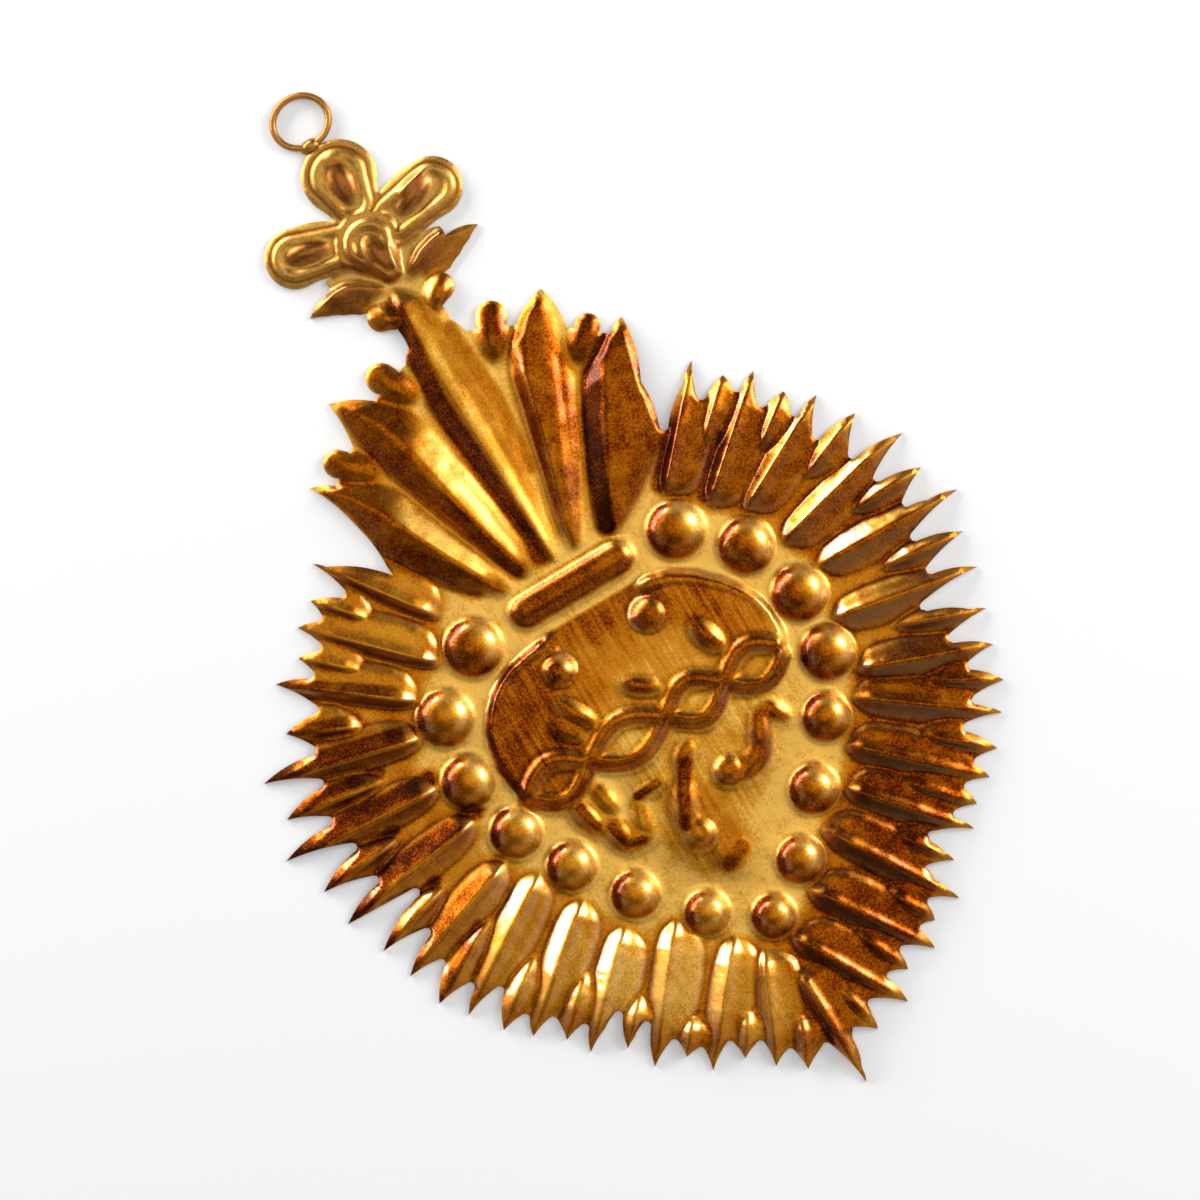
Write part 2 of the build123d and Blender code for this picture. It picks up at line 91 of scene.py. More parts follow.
def softened(field, radius):
    """The field blurred over a radius, as hammering and planishing do."""
    reach = int(3 * radius / FIELD_STEP) + 1
    offsets = np.arange(-reach, reach + 1)
    weights = np.exp(-0.5 * (offsets * FIELD_STEP / radius) ** 2)
    weights /= weights.sum()
    for axis in (0, 1):
        padding = [(reach, reach) if axis == side else (0, 0) for side in (0, 1)]
        padded = np.pad(field, padding, mode="edge")
        length = field.shape[axis]
        shifted = [np.take(padded, np.arange(length) + reach + offset, axis) for offset in offsets]
        field = sum(weight * layer for weight, layer in zip(weights, shifted))
    return field


def eased(field, low, high):
    """0 below low, 1 above high, eased between them."""
    share = np.clip((field - low) / (high - low), 0, 1)
    return share * share * (3 - 2 * share)


edge_corners = cut_edge()
metal = inside(edge_corners)
relief = np.zeros(field_x.shape)

# Rays: long and short pointed teeth by turns, each creased along its middle from the back with a chisel.
# The flank towards the charm's right is broad and slightly hollow and meets the next ray, the other one is
# steep.  Each pair gives the root and the tip of a crest, clockwise from the right flame.
RAYS = [
    ((17.5, 24.5), (29.7, 38.1)), ((24.5, 27.0), (32.3, 34.3)), ((22.0, 20.5), (36.1, 32.7)),
    ((31.0, 23.0), (38.2, 28.3)), ((26.0, 17.5), (41.7, 25.7)), ((34.5, 17.0), (44.9, 21.0)),
    ((28.0, 11.2), (49.0, 16.3)), ((37.5, 10.0), (48.8, 10.3)), ((30.5, 6.0), (51.5, 5.3)),
    ((37.0, 1.5), (49.3, 0.1)), ((28.5, -1.0), (48.5, -4.9)), ((34.5, -6.0), (46.7, -10.3)),
    ((28.0, -8.5), (45.1, -14.9)), ((34.0, -14.0), (43.9, -19.7)), ((25.5, -11.5), (41.5, -23.3)),
    ((30.0, -20.0), (38.5, -27.1)), ((21.5, -16.5), (35.7, -29.9)), ((24.5, -23.5), (32.4, -32.1)),
    ((18.5, -21.5), (30.4, -34.7)), ((20.5, -29.5), (26.0, -37.0)), ((13.0, -24.5), (24.0, -41.7)),
    ((16.0, -35.5), (19.7, -42.6)), ((7.5, -30.5), (17.8, -45.8)), ((9.5, -38.0), (13.3, -46.4)),
    ((2.5, -35.0), (11.1, -50.1)), ((4.0, -43.0), (5.8, -51.2)), ((0.6, -39.0), (0.9, -56.5)),
    ((-2.0, -43.5), (-4.9, -51.1)), ((-2.0, -34.5), (-8.4, -48.6)), ((-7.5, -39.5), (-11.4, -45.6)),
    ((-4.5, -31.0), (-15.9, -44.8)), ((-14.5, -37.0), (-18.0, -41.5)), ((-10.0, -25.0), (-22.3, -40.4)),
    ((-19.0, -31.0), (-24.2, -36.5)), ((-16.5, -22.5), (-28.7, -34.4)), ((-23.5, -24.5), (-30.6, -31.4)),
    ((-19.5, -16.5), (-34.2, -28.7)), ((-28.5, -19.5), (-37.2, -26.0)), ((-22.5, -10.5), (-40.2, -21.9)),
    ((-30.5, -12.0), (-42.8, -18.6)), ((-26.0, -7.0), (-44.3, -13.5)), ((-34.0, -5.5), (-45.7, -8.8)),
    ((-26.5, 0.0), (-47.9, -3.3)), ((-36.0, 3.0), (-48.5, 2.0)), ((-28.5, 6.2), (-50.7, 7.6)),
    ((-33.5, 10.5), (-47.8, 12.8)), ((-27.0, 13.0), (-48.0, 18.5)), ((-32.5, 18.0), (-42.1, 22.7)),
    ((-25.0, 17.5), (-39.9, 29.1)), ((-28.5, 24.0), (-35.6, 30.5)), ((-20.0, 20.5), (-33.6, 34.1)),
    ((-24.5, 29.5), (-30.3, 36.3)), ((-17.0, 26.0), (-27.5, 40.4)),
]
LONG_RAY_HEIGHT = 2.0
SHORT_RAY_HEIGHT = 1.7
FLANK_WIDTH = 3.2
RIGHT_FLANK_SPREAD = 2.6
RIGHT_FLANK_EASE = 1.5
LEFT_FLANK_SHRINK = 1.8
UPPER_FLANK_TILT = 0.6
SHORT_RAY_SIZE = 0.85
RAY_HOLLOW = 0.13
LONG_RAY_SAG = 0.3
SHORT_RAY_SAG = 0.9
# Height and width, as shares of the full ones, at shares of the length: a long ray is blunt at its root, a
# short one pointed like a leaf
RAY_RUN = (-0.05, 0.0, 0.05, 0.1, 0.2, 0.35, 0.55, 0.75, 0.9, 1.0)
LONG_RAY_RISE = (0.0, 0.2, 0.55, 0.85, 1.0, 1.0, 0.95, 0.7, 0.35, 0.0)
LONG_RAY_WIDTHS = (0.2, 0.4, 0.65, 0.82, 0.95, 1.0, 0.97, 0.8, 0.5, 0.2)
SHORT_RAY_RISE = (0.0, 0.05, 0.2, 0.4, 0.75, 1.0, 0.95, 0.7, 0.4, 0.0)
SHORT_RAY_WIDTHS = (0.1, 0.15, 0.25, 0.4, 0.65, 0.95, 1.0, 0.95, 0.7, 0.3)


def flank_width(along, facing):
    """Width of a ray's flank by the way it faces: broad towards the charm's right, narrow to its left."""
    broader = RIGHT_FLANK_SPREAD * max(0, facing.x) ** RIGHT_FLANK_EASE
    narrower = (LEFT_FLANK_SHRINK + UPPER_FLANK_TILT * along.y) * max(0, -facing.x)
    return FLANK_WIDTH + broader - narrower - UPPER_FLANK_TILT * along.x * facing.y


def raised_ray(root, tip, rise, widths, sag):
    """The height of one ray over the field, as a share of the full height."""
    root, tip = Vector(root), Vector(tip)
    length = (tip - root).length
    along = (tip - root) / length
    run = ((field_x - root.x) * along.x + (field_y - root.y) * along.y) / length
    beside = (field_x - root.x) * along.y - (field_y - root.y) * along.x
    width = np.interp(run, RAY_RUN, widths)
    flanks = []
    for facing in (Vector((along.y, -along.x)), Vector((-along.y, along.x))):
        share = np.clip(beside / (width * flank_width(along, facing)), 0, 1)
        hollow = RAY_HOLLOW * max(0, facing.x) * np.sin(2 * pi * share)
        flanks.append((1 - share) ** (1 + sag * max(0, -facing.y - facing.x)) - hollow)
        beside = -beside
    return np.interp(run, RAY_RUN, rise, 0, 0) * np.minimum(*flanks)


ray_relief = np.zeros(field_x.shape)
for number, ends in enumerate(RAYS):
    if number % 2:
        widths = SHORT_RAY_SIZE * np.array(SHORT_RAY_WIDTHS)
        raised = SHORT_RAY_HEIGHT * raised_ray(*ends, SHORT_RAY_RISE, widths, SHORT_RAY_SAG)
    else:
        raised = LONG_RAY_HEIGHT * raised_ray(*ends, LONG_RAY_RISE, LONG_RAY_WIDTHS, LONG_RAY_SAG)
    ray_relief = np.maximum(ray_relief, raised)
relief = np.maximum(relief, ray_relief)

# Pearls: a heart-shaped string of round bosses, each struck from the back with a ball punch.  Each row gives
# the middle and the radius.
PEARL_HEIGHT = 2.3
PEARLS = [
    (16.4, 19.8, 4.1), (23.4, 13.2, 3.9), (26.3, 4.2, 3.9), (25.5, -4.5, 3.8), (21.0, -11.8, 3.3),
    (14.7, -19.2, 3.4), (8.4, -26.4, 3.3), (1.5, -31.1, 3.0), (-5.9, -26.2, 3.1), (-12.9, -19.3, 3.3),
    (-18.3, -11.7, 3.4), (-22.4, -4.1, 3.6), (-24.5, 4.9, 3.7), (-22.8, 13.8, 4.0), (-14.8, 20.0, 4.1),
]


def raised_pearl(x, y, radius, height):
    """The height of a round cap over the field."""
    ball = (radius**2 + height**2) / (2 * height)
    distance = np.hypot(field_x - x, field_y - y)
    cap = height - ball + np.sqrt(np.clip(ball**2 - distance**2, 0, None))
    return np.maximum(cap, 0) * (distance < radius)


pearl_relief = np.zeros(field_x.shape)
for pearl in PEARLS:
    pearl_relief = np.maximum(pearl_relief, raised_pearl(*pearl, PEARL_HEIGHT))
relief = np.maximum(relief, pearl_relief)

# Flames: five long tongues beaten up from the back and creased along a crest.  The left two are rounded on
# their left flank, the middle one is nearly flat on both and the right two are full on their right.  A row
# across a flame gives its y, the x of its left foot, crest and right foot, and its share of the height.
FLAME_HEIGHT = 2.3
FLAMES = [
    [(24.0, -8.2, -7.6, -5.6, 0.2), (27.0, -12.0, -9.3, -5.9, 0.5), (30.0, -15.2, -10.9, -7.2, 0.7),
     (33.0, -17.7, -12.2, -8.6, 0.85), (36.0, -19.2, -13.5, -9.9, 0.95), (39.0, -19.7, -14.9, -11.1, 1.0),
     (42.0, -20.1, -16.6, -11.9, 0.9), (45.0, -21.1, -18.6, -13.4, 0.7), (47.0, -21.9, -20.4, -15.6, 0.5),
     (49.2, -22.8, -22.4, -21.6, 0.0)],
    [(24.6, -4.4, -3.8, -1.4, 0.2), (28.0, -6.2, -4.7, -1.1, 0.55), (32.0, -8.0, -5.6, -1.6, 0.75),
     (36.0, -9.5, -6.5, -2.2, 0.9), (40.0, -11.0, -7.3, -2.9, 1.0), (44.0, -12.5, -8.2, -3.7, 1.0),
     (48.0, -13.9, -9.0, -4.2, 0.95), (52.0, -14.8, -10.5, -5.0, 0.75), (55.0, -15.0, -12.4, -8.0, 0.5),
     (57.6, -15.0, -14.5, -13.6, 0.0)],
    [(24.4, -0.2, 0.3, 1.2, 0.2), (28.0, -0.7, 0.3, 2.6, 0.5), (34.0, -1.4, 0.2, 3.9, 0.66),
     (42.0, -2.6, 0.1, 5.4, 0.76), (50.0, -3.9, 0.0, 6.5, 0.78), (54.0, -3.8, 0.0, 6.2, 0.74),
     (58.0, -2.6, 0.1, 5.2, 0.68), (61.0, -1.9, 0.2, 4.6, 0.64), (64.0, -1.3, 0.2, 3.3, 0.6),
     (66.6, -0.4, 0.2, 0.9, 0.1)],
    [(24.4, 2.9, 3.6, 5.2, 0.2), (28.0, 3.1, 4.3, 7.3, 0.55), (32.0, 4.1, 5.6, 9.4, 0.75),
     (36.0, 5.2, 6.8, 11.6, 0.9), (40.0, 6.1, 7.9, 13.6, 1.0), (44.0, 7.1, 8.9, 15.4, 1.0),
     (48.0, 7.9, 10.1, 16.2, 0.9), (52.0, 9.2, 12.2, 17.2, 0.7), (54.6, 12.6, 14.9, 17.3, 0.45),
     (56.5, 16.4, 16.9, 17.4, 0.0)],
    [(23.4, 7.7, 8.9, 11.0, 0.2), (26.0, 7.2, 10.2, 15.5, 0.5), (29.0, 8.4, 11.8, 20.0, 0.7),
     (32.0, 9.8, 13.4, 24.0, 0.85), (35.0, 11.2, 15.0, 25.5, 0.95), (38.0, 12.5, 16.6, 26.5, 1.0),
     (42.0, 14.6, 18.7, 26.5, 0.9), (44.5, 16.8, 20.4, 26.2, 0.7), (46.3, 20.5, 22.0, 26.0, 0.45),
     (47.8, 23.9, 24.3, 24.8, 0.0)],
]
# How round each flame is on its left and its right flank; 1 is flat
FLAME_FULLNESS = [(1.7, 1.35), (1.7, 1.15), (1.1, 1.0), (1.5, 1.7), (1.1, 1.9)]
# Chased lines on the flames: points, width, and rise or depth
FLAME_LINES = [
    ([(1.3, 28), (1.9, 40), (2.2, 50)], 0.5, -0.08),
    ([(3.0, 28), (4.3, 40), (5.1, 50)], 0.6, -0.08),
    ([(4.6, 28), (6.6, 34), (8.6, 40), (10.6, 46), (13.2, 51)], 0.5, -0.08),
    ([(6.2, 28), (8.8, 34.5), (12.0, 41.5), (14.6, 47.5)], 0.5, -0.13),
    ([(12.4, 27), (16.4, 33), (19.4, 39)], 0.7, -0.20),
    ([(15.0, 28), (18.6, 32.5), (20.6, 37)], 0.5, -0.15),
    ([(-3.0, 28), (-4.2, 36), (-5.5, 42.5)], 0.5, -0.10),
    ([(-9.2, 28), (-12.0, 33.5), (-14.6, 38)], 0.6, 0.20),
]
LINES_START = (0.2, 0.8)


def raised_tongue(along, across, stations, height, near_fullness, far_fullness):
    """A form laid out by stations along it: near foot, crest, far foot and its share of the height."""
    places, near, crest, far, shares = np.array(stations).T
    crest_line = np.interp(along, places, crest)
    near_share = np.clip((crest_line - across) / (crest_line - np.interp(along, places, near)), 0, 1)
    far_share = np.clip((across - crest_line) / (np.interp(along, places, far) - crest_line), 0, 1)
    fall = 1 - near_share**near_fullness - far_share**far_fullness
    return height * np.interp(along, places, shares, 0, 0) * np.maximum(fall, 0)


def beside_run(start_x, start_y, end_x, end_y):
    """Share of the way along a straight run and the distance from it, over the field."""
    run_x, run_y = end_x - start_x, end_y - start_y
    share = ((field_x - start_x) * run_x + (field_y - start_y) * run_y) / (run_x**2 + run_y**2)
    share = np.clip(share, 0, 1)
    return share, np.hypot(field_x - start_x - share * run_x, field_y - start_y - share * run_y)


def line_distance(points):
    """How far each place of the field lies from a line through points."""
    return np.minimum.reduce([beside_run(*start, *end)[1] for start, end in zip(points, points[1:])])


def swell(field, middle, width):
    """1 at the middle, falling away smoothly over a width on both sides."""
    return np.exp(-(((field - middle) / width) ** 2))


def chased(lines):
    """The rise and fall of a set of chased lines over the field."""
    return sum(rise * swell(line_distance(points), 0, width) for points, width, rise in lines)


flame_relief = np.zeros(field_x.shape)
for stations, fullness in zip(FLAMES, FLAME_FULLNESS):
    tongue = raised_tongue(field_y, field_x, stations, FLAME_HEIGHT, *fullness)
    flame_relief = np.maximum(flame_relief, tongue)
flame_relief += chased(FLAME_LINES) * eased(flame_relief, *LINES_START)
relief = np.maximum(relief, flame_relief)

# Buds between the flames' tips and beside the stem, and the band at the flames' foot: rounded ovals and a
# rounded bar, punched up from the back.  Each is laid out as two circles (x, y, radius).
BUD_HEIGHT = 1.3
BUD_SPREAD = 1.35
BUD_SOFTNESS = 1.6
BUDS = [
    ((-7.1, 57.0, 2.5), (-5.6, 54.0, 2.0)), ((-17.9, 50.2, 2.3), (-15.2, 47.4, 2.1)),
    ((9.7, 56.7, 2.5), (7.9, 53.2, 1.8)), ((20.1, 49.1, 2.1), (17.8, 46.9, 2.0)),
    ((-3.0, 64.0, 2.2), (-1.8, 62.8, 1.3)), ((5.9, 63.6, 2.2), (4.6, 62.4, 1.3)),
]
BAND_HEIGHT = 1.5
BAND_FULLNESS = 0.8
BAND = ((-6.2, 20.6, 2.5), (7.8, 20.6, 2.5))


def pod_share(ends):
    """Share of the way from the middle line of a pod to its outline, over the field."""
    (start_x, start_y, start_radius), (end_x, end_y, end_radius) = ends
    along, distance = beside_run(start_x, start_y, end_x, end_y)
    return distance / (start_radius + along * (end_radius - start_radius))


def oval_share(ends):
    """Share of the way from the middle of the oval round two circles to its outline, over the field."""
    (start_x, start_y, start_radius), (end_x, end_y, end_radius) = ends
    run = Vector((end_x - start_x, end_y - start_y))
    along = run.normalized()
    half_width = (start_radius + end_radius) / 2
    half_length = run.length / 2 + half_width
    from_x, from_y = field_x - (start_x + end_x) / 2, field_y - (start_y + end_y) / 2
    return np.hypot((from_x * along.x + from_y * along.y) / half_length,
                    (from_x * along.y - from_y * along.x) / half_width)


def dome(share, height, softness):
    """The height of a rounded form over the field, from the share of the way to its outline."""
    return height * np.clip(1 - share**2, 0, None) ** softness


buds = [dome(oval_share(ends) / BUD_SPREAD, BUD_HEIGHT, BUD_SOFTNESS) for ends in BUDS]
bud_relief = np.maximum.reduce(buds)
band_relief = dome(pod_share(BAND), BAND_HEIGHT, BAND_FULLNESS)
relief = np.maximum.reduce([relief, bud_relief, band_relief])

# Heart: a low plateau beaten up inside the pearls, sharp at its two lobes, run out flat at the top between
# them, and swelling into a soft mound below.  The crown of thorns is two strands twisted about each other.
HEART_HEIGHT = 1.3
LOBE_SOFTNESS = 0.3
LOBE_EDGE = [
    (-18.9, -0.8), (-19.8, 2.0), (-20.0, 4.8), (-19.4, 7.8), (-18.2, 10.4), (-15.6, 13.4), (-12.2, 15.2),
    (-8.5, 15.9), (-4.6, 16.4), (7.0, 16.5), (9.6, 16.4), (12.7, 15.5), (15.6, 13.7), (18.0, 11.5),
    (20.2, 8.8), (21.5, 6.2), (22.0, 3.4), (21.8, 0.6), (20.9, -0.9),
]
MOUND_EDGE = [
    (-6.0, -4.0), (-4.0, -10.0), (-6.4, -14.0), (-6.0, -18.0), (-3.0, -22.0), (1.0, -23.5), (3.5, -22.0),
    (6.5, -17.0), (12.0, -13.0), (16.0, -8.0), (20.0, -4.0), (8.0, 0.0),
]
MOUND_SHARE = 0.6
MOUND_SOFTNESS = 2.0
RUN_OUT_LEFT = (-8.0, -3.0)
RUN_OUT_RIGHT = (5.5, 11.0)
RUN_OUT_TOP = (7.5, 16.0)
# Chased lines round the lobes: points, width, and rise or depth
HEART_LINES = [
    ([(-5.4, 14.2), (-8.5, 15.2), (-12.4, 14.4), (-16, 12), (-18.3, 9), (-19.2, 5), (-18.9, 2)], 0.35, 0.18),
    ([(-5.6, 13.2), (-8.8, 14.1), (-12.0, 13.3), (-15.2, 11.2), (-17.3, 8.6), (-18.1, 5)], 0.40, -0.24),
    ([(8.5, 15.4), (12.2, 14.5), (15.2, 12.6), (18.5, 9.6), (20.6, 6.6), (21.2, 4), (21.1, 0)], 0.35, 0.15),
    ([(8.3, 14.4), (12, 13.5), (14.8, 11.7), (17.6, 9.0), (19.5, 6.2), (20.0, 4)], 0.40, -0.22),
    ([(18.0, 7.6), (18.9, 5.4), (18.8, 3.2)], 0.35, 0.15),
]
SMALL_PEARL_HEIGHT = 1.3
SMALL_PEARLS = [(-6.4, 11.6, 2.4), (7.4, 12.0, 2.6), (6.3, -11.4, 2.4), (-1.4, -16.7, 2.4)]
BRAID_Y = -1.0
BRAID_BOW = 2.9
BRAID_CROSSINGS = (-19.0, -9.2, 2.6, 11.6, 21.0)
BRAID_STEPS = 10
STRAND_HEIGHT = 0.95
STRAND_WIDTH = 1.35
STRAND_FULLNESS = 0.8
# Thorns and the drops that hang under them: each an oval round two circles (x, y, radius), and its height
THORN_SPREAD = 1.35
THORN_SOFTNESS = 1.0
THORN_RISE = 1.15
THORNS = [
    ((-8.4, 7.2, 0.9), (-6.6, 4.0, 1.6), 0.9), ((-10.2, 5.0, 1.0), (-8.9, 3.0, 1.4), 0.7),
    ((0.6, 5.2, 0.9), (3.2, 3.2, 1.3), 0.8), ((12.4, 6.8, 1.0), (13.2, 4.4, 1.7), 1.0),
    ((-13.6, -5.8, 1.3), (-12.9, -8.6, 1.6), 1.0), ((-10.2, -5.4, 1.2), (-9.8, -7.6, 1.4), 0.8),
    ((-6.2, -8.2, 0.9), (-2.6, -8.0, 1.1), 0.6), ((1.4, -7.2, 1.0), (2.8, -6.0, 1.4), 0.7),
    ((15.2, -7.0, 1.0), (16.0, -8.6, 1.3), 0.7),
    ((8.6, -12.6, 1.4), (11.4, -11.2, 1.5), 0.9),
    ((11.4, -11.2, 1.5), (13.3, -7.4, 1.2), 0.9),
    ((-2.2, -14.4, 1.7), (-0.2, -10.6, 1.3), 0.9), ((-0.2, -10.6, 1.3), (1.2, -8.0, 1.0), 0.6),
    ((-10.9, -10.4, 1.5), (-10.3, -12.6, 1.7), 1.0), ((-10.3, -12.8, 1.6), (-8.0, -13.2, 1.3), 0.8),
    ((-7.6, -12.6, 1.3), (-6.8, -10.2, 1.3), 0.8), ((1.1, -21.8, 2.0), (1.4, -21.4, 1.9), 0.5),
]


def raised_strand(points):
    """The height of one strand of the crown along a line of points."""
    return dome(line_distance(points) / STRAND_WIDTH, STRAND_HEIGHT, STRAND_FULLNESS)


upper_strands, lower_strands = [], []
for start, end in zip(BRAID_CROSSINGS, BRAID_CROSSINGS[1:]):
    for step in range(BRAID_STEPS):
        share = step / BRAID_STEPS
        x, bow = start + (end - start) * share, BRAID_BOW * sin(pi * share)
        upper_strands.append((x, BRAID_Y + bow))
        lower_strands.append((x, BRAID_Y - bow))
heart_area = softened(inside(LOBE_EDGE + lower_strands[::-1]), LOBE_SOFTNESS)
between_lobes = eased(field_x, *RUN_OUT_LEFT) * (1 - eased(field_x, *RUN_OUT_RIGHT))
lobes = heart_area * (1 - between_lobes * eased(field_y, *RUN_OUT_TOP))
mound = softened(inside(MOUND_EDGE), MOUND_SOFTNESS) * MOUND_SHARE
heart_stand = np.maximum(lobes, mound)
heart_relief = HEART_HEIGHT * heart_stand + chased(HEART_LINES)
strands = [raised_strand(points) for points in (upper_strands, lower_strands)]
thorns = [
    dome(oval_share(ends) / THORN_SPREAD, THORN_RISE * height, THORN_SOFTNESS)
    for *ends, height in THORNS
]
small_pearls = [raised_pearl(*pearl, SMALL_PEARL_HEIGHT) for pearl in SMALL_PEARLS]
relief = np.maximum(relief, heart_relief + np.maximum.reduce(strands + thorns + small_pearls))

# Flower and leaves at the top: petals with a rim, a groove, a ring and a boss, over two pointed leaves whose
# upper edges are turned up.  Leaves are laid out from left to right: x, then y of the lower foot, crest and
# upper foot, and the share of the height.
PETALS = [
    ((1.7, 83.0, 5.05), (1.6, 79.2, 3.5)), ((-8.9, 76.6, 4.05), (-2.8, 75.0, 3.4)),
    ((11.7, 75.6, 4.1), (5.2, 74.6, 3.8)),
]
CENTRE_PETAL = ((0.6, 73.2, 4.5), (1.2, 68.9, 1.6))
CENTRE_PETAL_RISE = 0.5
# Height of a petal at shares of the way from its middle line to its outline, and the boss it carries
PETAL_SHARES = (0.0, 0.36, 0.52, 0.66, 0.80, 0.92, 1.0)
PETAL_HEIGHTS = (0.30, 0.35, 0.95, 0.95, 0.25, 0.55, 0.40)
BOSS_HEIGHT = 1.2
BOSS_FULLNESS = 1.0
BOSSES = [
    ((1.8, 84.0, 2.4), (1.5, 80.6, 1.9)), ((-8.9, 76.9, 2.0), (-5.2, 76.0, 1.5)),
    ((10.8, 76.8, 1.6), (7.4, 75.3, 2.0)), ((0.7, 73.0, 2.3), (1.2, 69.8, 1.4)),
]
LEAF_HEIGHT = 1.1
LEAF_FULLNESS = (1.2, 1.0)
LEAVES = [
    [(-11.3, 68.6, 68.7, 68.8, 0.0), (-9.0, 67.6, 69.3, 70.0, 0.5), (-7.0, 66.6, 69.9, 70.7, 0.9),
     (-5.0, 65.7, 69.9, 70.6, 1.0), (-3.0, 65.7, 68.9, 69.6, 1.0), (-1.2, 66.0, 67.5, 68.2, 0.6),
     (0.0, 66.4, 66.8, 67.2, 0.0)],
    [(2.2, 66.2, 66.6, 67.0, 0.0), (4.0, 65.8, 67.8, 68.5, 0.7), (6.0, 65.4, 69.0, 69.7, 1.0),
     (8.0, 65.4, 69.6, 70.3, 1.0), (9.8, 66.0, 69.7, 70.5, 0.9), (12.0, 67.0, 68.7, 69.2, 0.5),
     (14.5, 68.1, 68.3, 68.5, 0.0)],
]


def raised_petal(ends):
    """The height of a petal over the field."""
    share = pod_share(ends)
    return np.interp(share, PETAL_SHARES, PETAL_HEIGHTS) * (share < 1)


leaves = [raised_tongue(field_x, field_y, stations, LEAF_HEIGHT, *LEAF_FULLNESS) for stations in LEAVES]
leaf_relief = np.maximum.reduce(leaves)
petal_relief = np.maximum.reduce([raised_petal(ends) for ends in PETALS])
centre_petal = raised_petal(CENTRE_PETAL)
petal_relief = np.where(centre_petal > 0, centre_petal + CENTRE_PETAL_RISE, petal_relief)
petal_relief += np.maximum.reduce([dome(oval_share(ends), BOSS_HEIGHT, BOSS_FULLNESS) for ends in BOSSES])
relief = np.maximum.reduce([relief, leaf_relief, petal_relief])

# Skin of the sheet: the forms are hammered soft and run down to the cut edge, which was snipped by hand, so
# the upper side of each tooth bows out a little and the lower side is hollow.  The back follows the front.
HAMMER_RADIUS = 0.22
FOOT_RADIUS = 0.5
DENT_HEIGHT = 0.04
DENT_SPACING = 2.4
WRINKLE_HEIGHT = 0.015
WRINKLE_SPACING = 0.8
LIP_WIDTH = 0.35
LIP_FALL = 0.3
LIP_EDGE = (0.5, 0.95)
# Where the forms stay crisp: what stands up, the rays, the rim of the lobes and, less so, the flower
CRISP_RISE = (0.1, 1.0)
RAY_FOOT = 0.1
RAY_ZONE_REACH = 2.0
RAY_ZONE_EDGE = (0.15, 0.5)
LEAST_METAL = 0.1
LOBE_RIM_WIDTH = 0.8
FLOWER_CRISPNESS = 0.55
FLOWER_START = (63, 66)
# The cut edge: its steps, the bow of the teeth's sides, and how near the field's places come to it
EDGE_STEP = 0.3
EDGE_ROUNDING = 0.06
TOOTH_BULGE = 0.06
TOOTH_HOLLOW = 0.04
LONGEST_SNIP = 9.5
BULGE_SIDE = Vector((0.3, 0.95))
BORDER_BLUR = 0.2
BORDER_SHARE = 0.97
SAME_POINT = 1e-5


def uneven(step_x, step_y, layer):
    """Smooth unevenness between about -1 and 1 over the field, with its own steps along and across."""
    field = np.zeros(field_x.shape)
    for row, y in enumerate(rows):
        for column, x in enumerate(columns):
            field[row, column] = noise.noise(Vector((x / step_x, y / step_y, layer)))
    return field


def snipped_edge():
    """The cut edge in short steps, each long snip bowed out on its upper side and hollow on its lower."""
    points = []
    for start, end in zip(edge_corners, edge_corners[1:] + edge_corners[:1]):
        run = end - start
        outward = Vector((run.y, -run.x)).normalized()
        bow = TOOTH_BULGE if outward.dot(BULGE_SIDE) > 0 else -TOOTH_HOLLOW
        bow = bow if run.length < LONGEST_SNIP else 0
        steps = max(1, round(run.length / EDGE_STEP))
        for step in range(steps):
            share = step / steps
            points.append(start + run * share + outward * (bow * run.length * sin(pi * share)))
    return points


def sampled(field, points):
    """The field's values at points, blended between the field's own places."""
    column = (points[:, 0] - columns[0]) / FIELD_STEP
    row = (points[:, 1] - rows[0]) / FIELD_STEP
    left, below = column.astype(int), row.astype(int)
    across, up = column - left, row - below
    lower = field[below, left] * (1 - across) + field[below, left + 1] * across
    upper = field[below + 1, left] * (1 - across) + field[below + 1, left + 1] * across
    return lower * (1 - up) + upper * up


def sheet_plan():
    """Points and triangles that fill the cut edge, seen from above."""
    edge = snipped_edge()
    well_inside = softened(metal, BORDER_BLUR) > BORDER_SHARE
    inner = [Vector(place) for place in zip(field_x[well_inside], field_y[well_inside])]
    border = [(index, (index + 1) % len(edge)) for index in range(len(edge))]
    points, _, triangles, *_ = geometry.delaunay_2d_cdt(edge + inner, border, [], 1, SAME_POINT)
    return np.array([point[:] for point in points]), [tuple(triangle) for triangle in triangles]


def add_piece(name, points, faces):
    """A smooth-shaded piece from points in millimetres."""
    mesh = bpy.data.meshes.new(name)
    mesh.from_pydata([tuple(point) for point in np.asarray(points) * MM], [], faces)
    mesh.shade_smooth()
    piece = bpy.data.objects.new(name, mesh)
    bpy.context.scene.collection.objects.link(piece)
    return piece


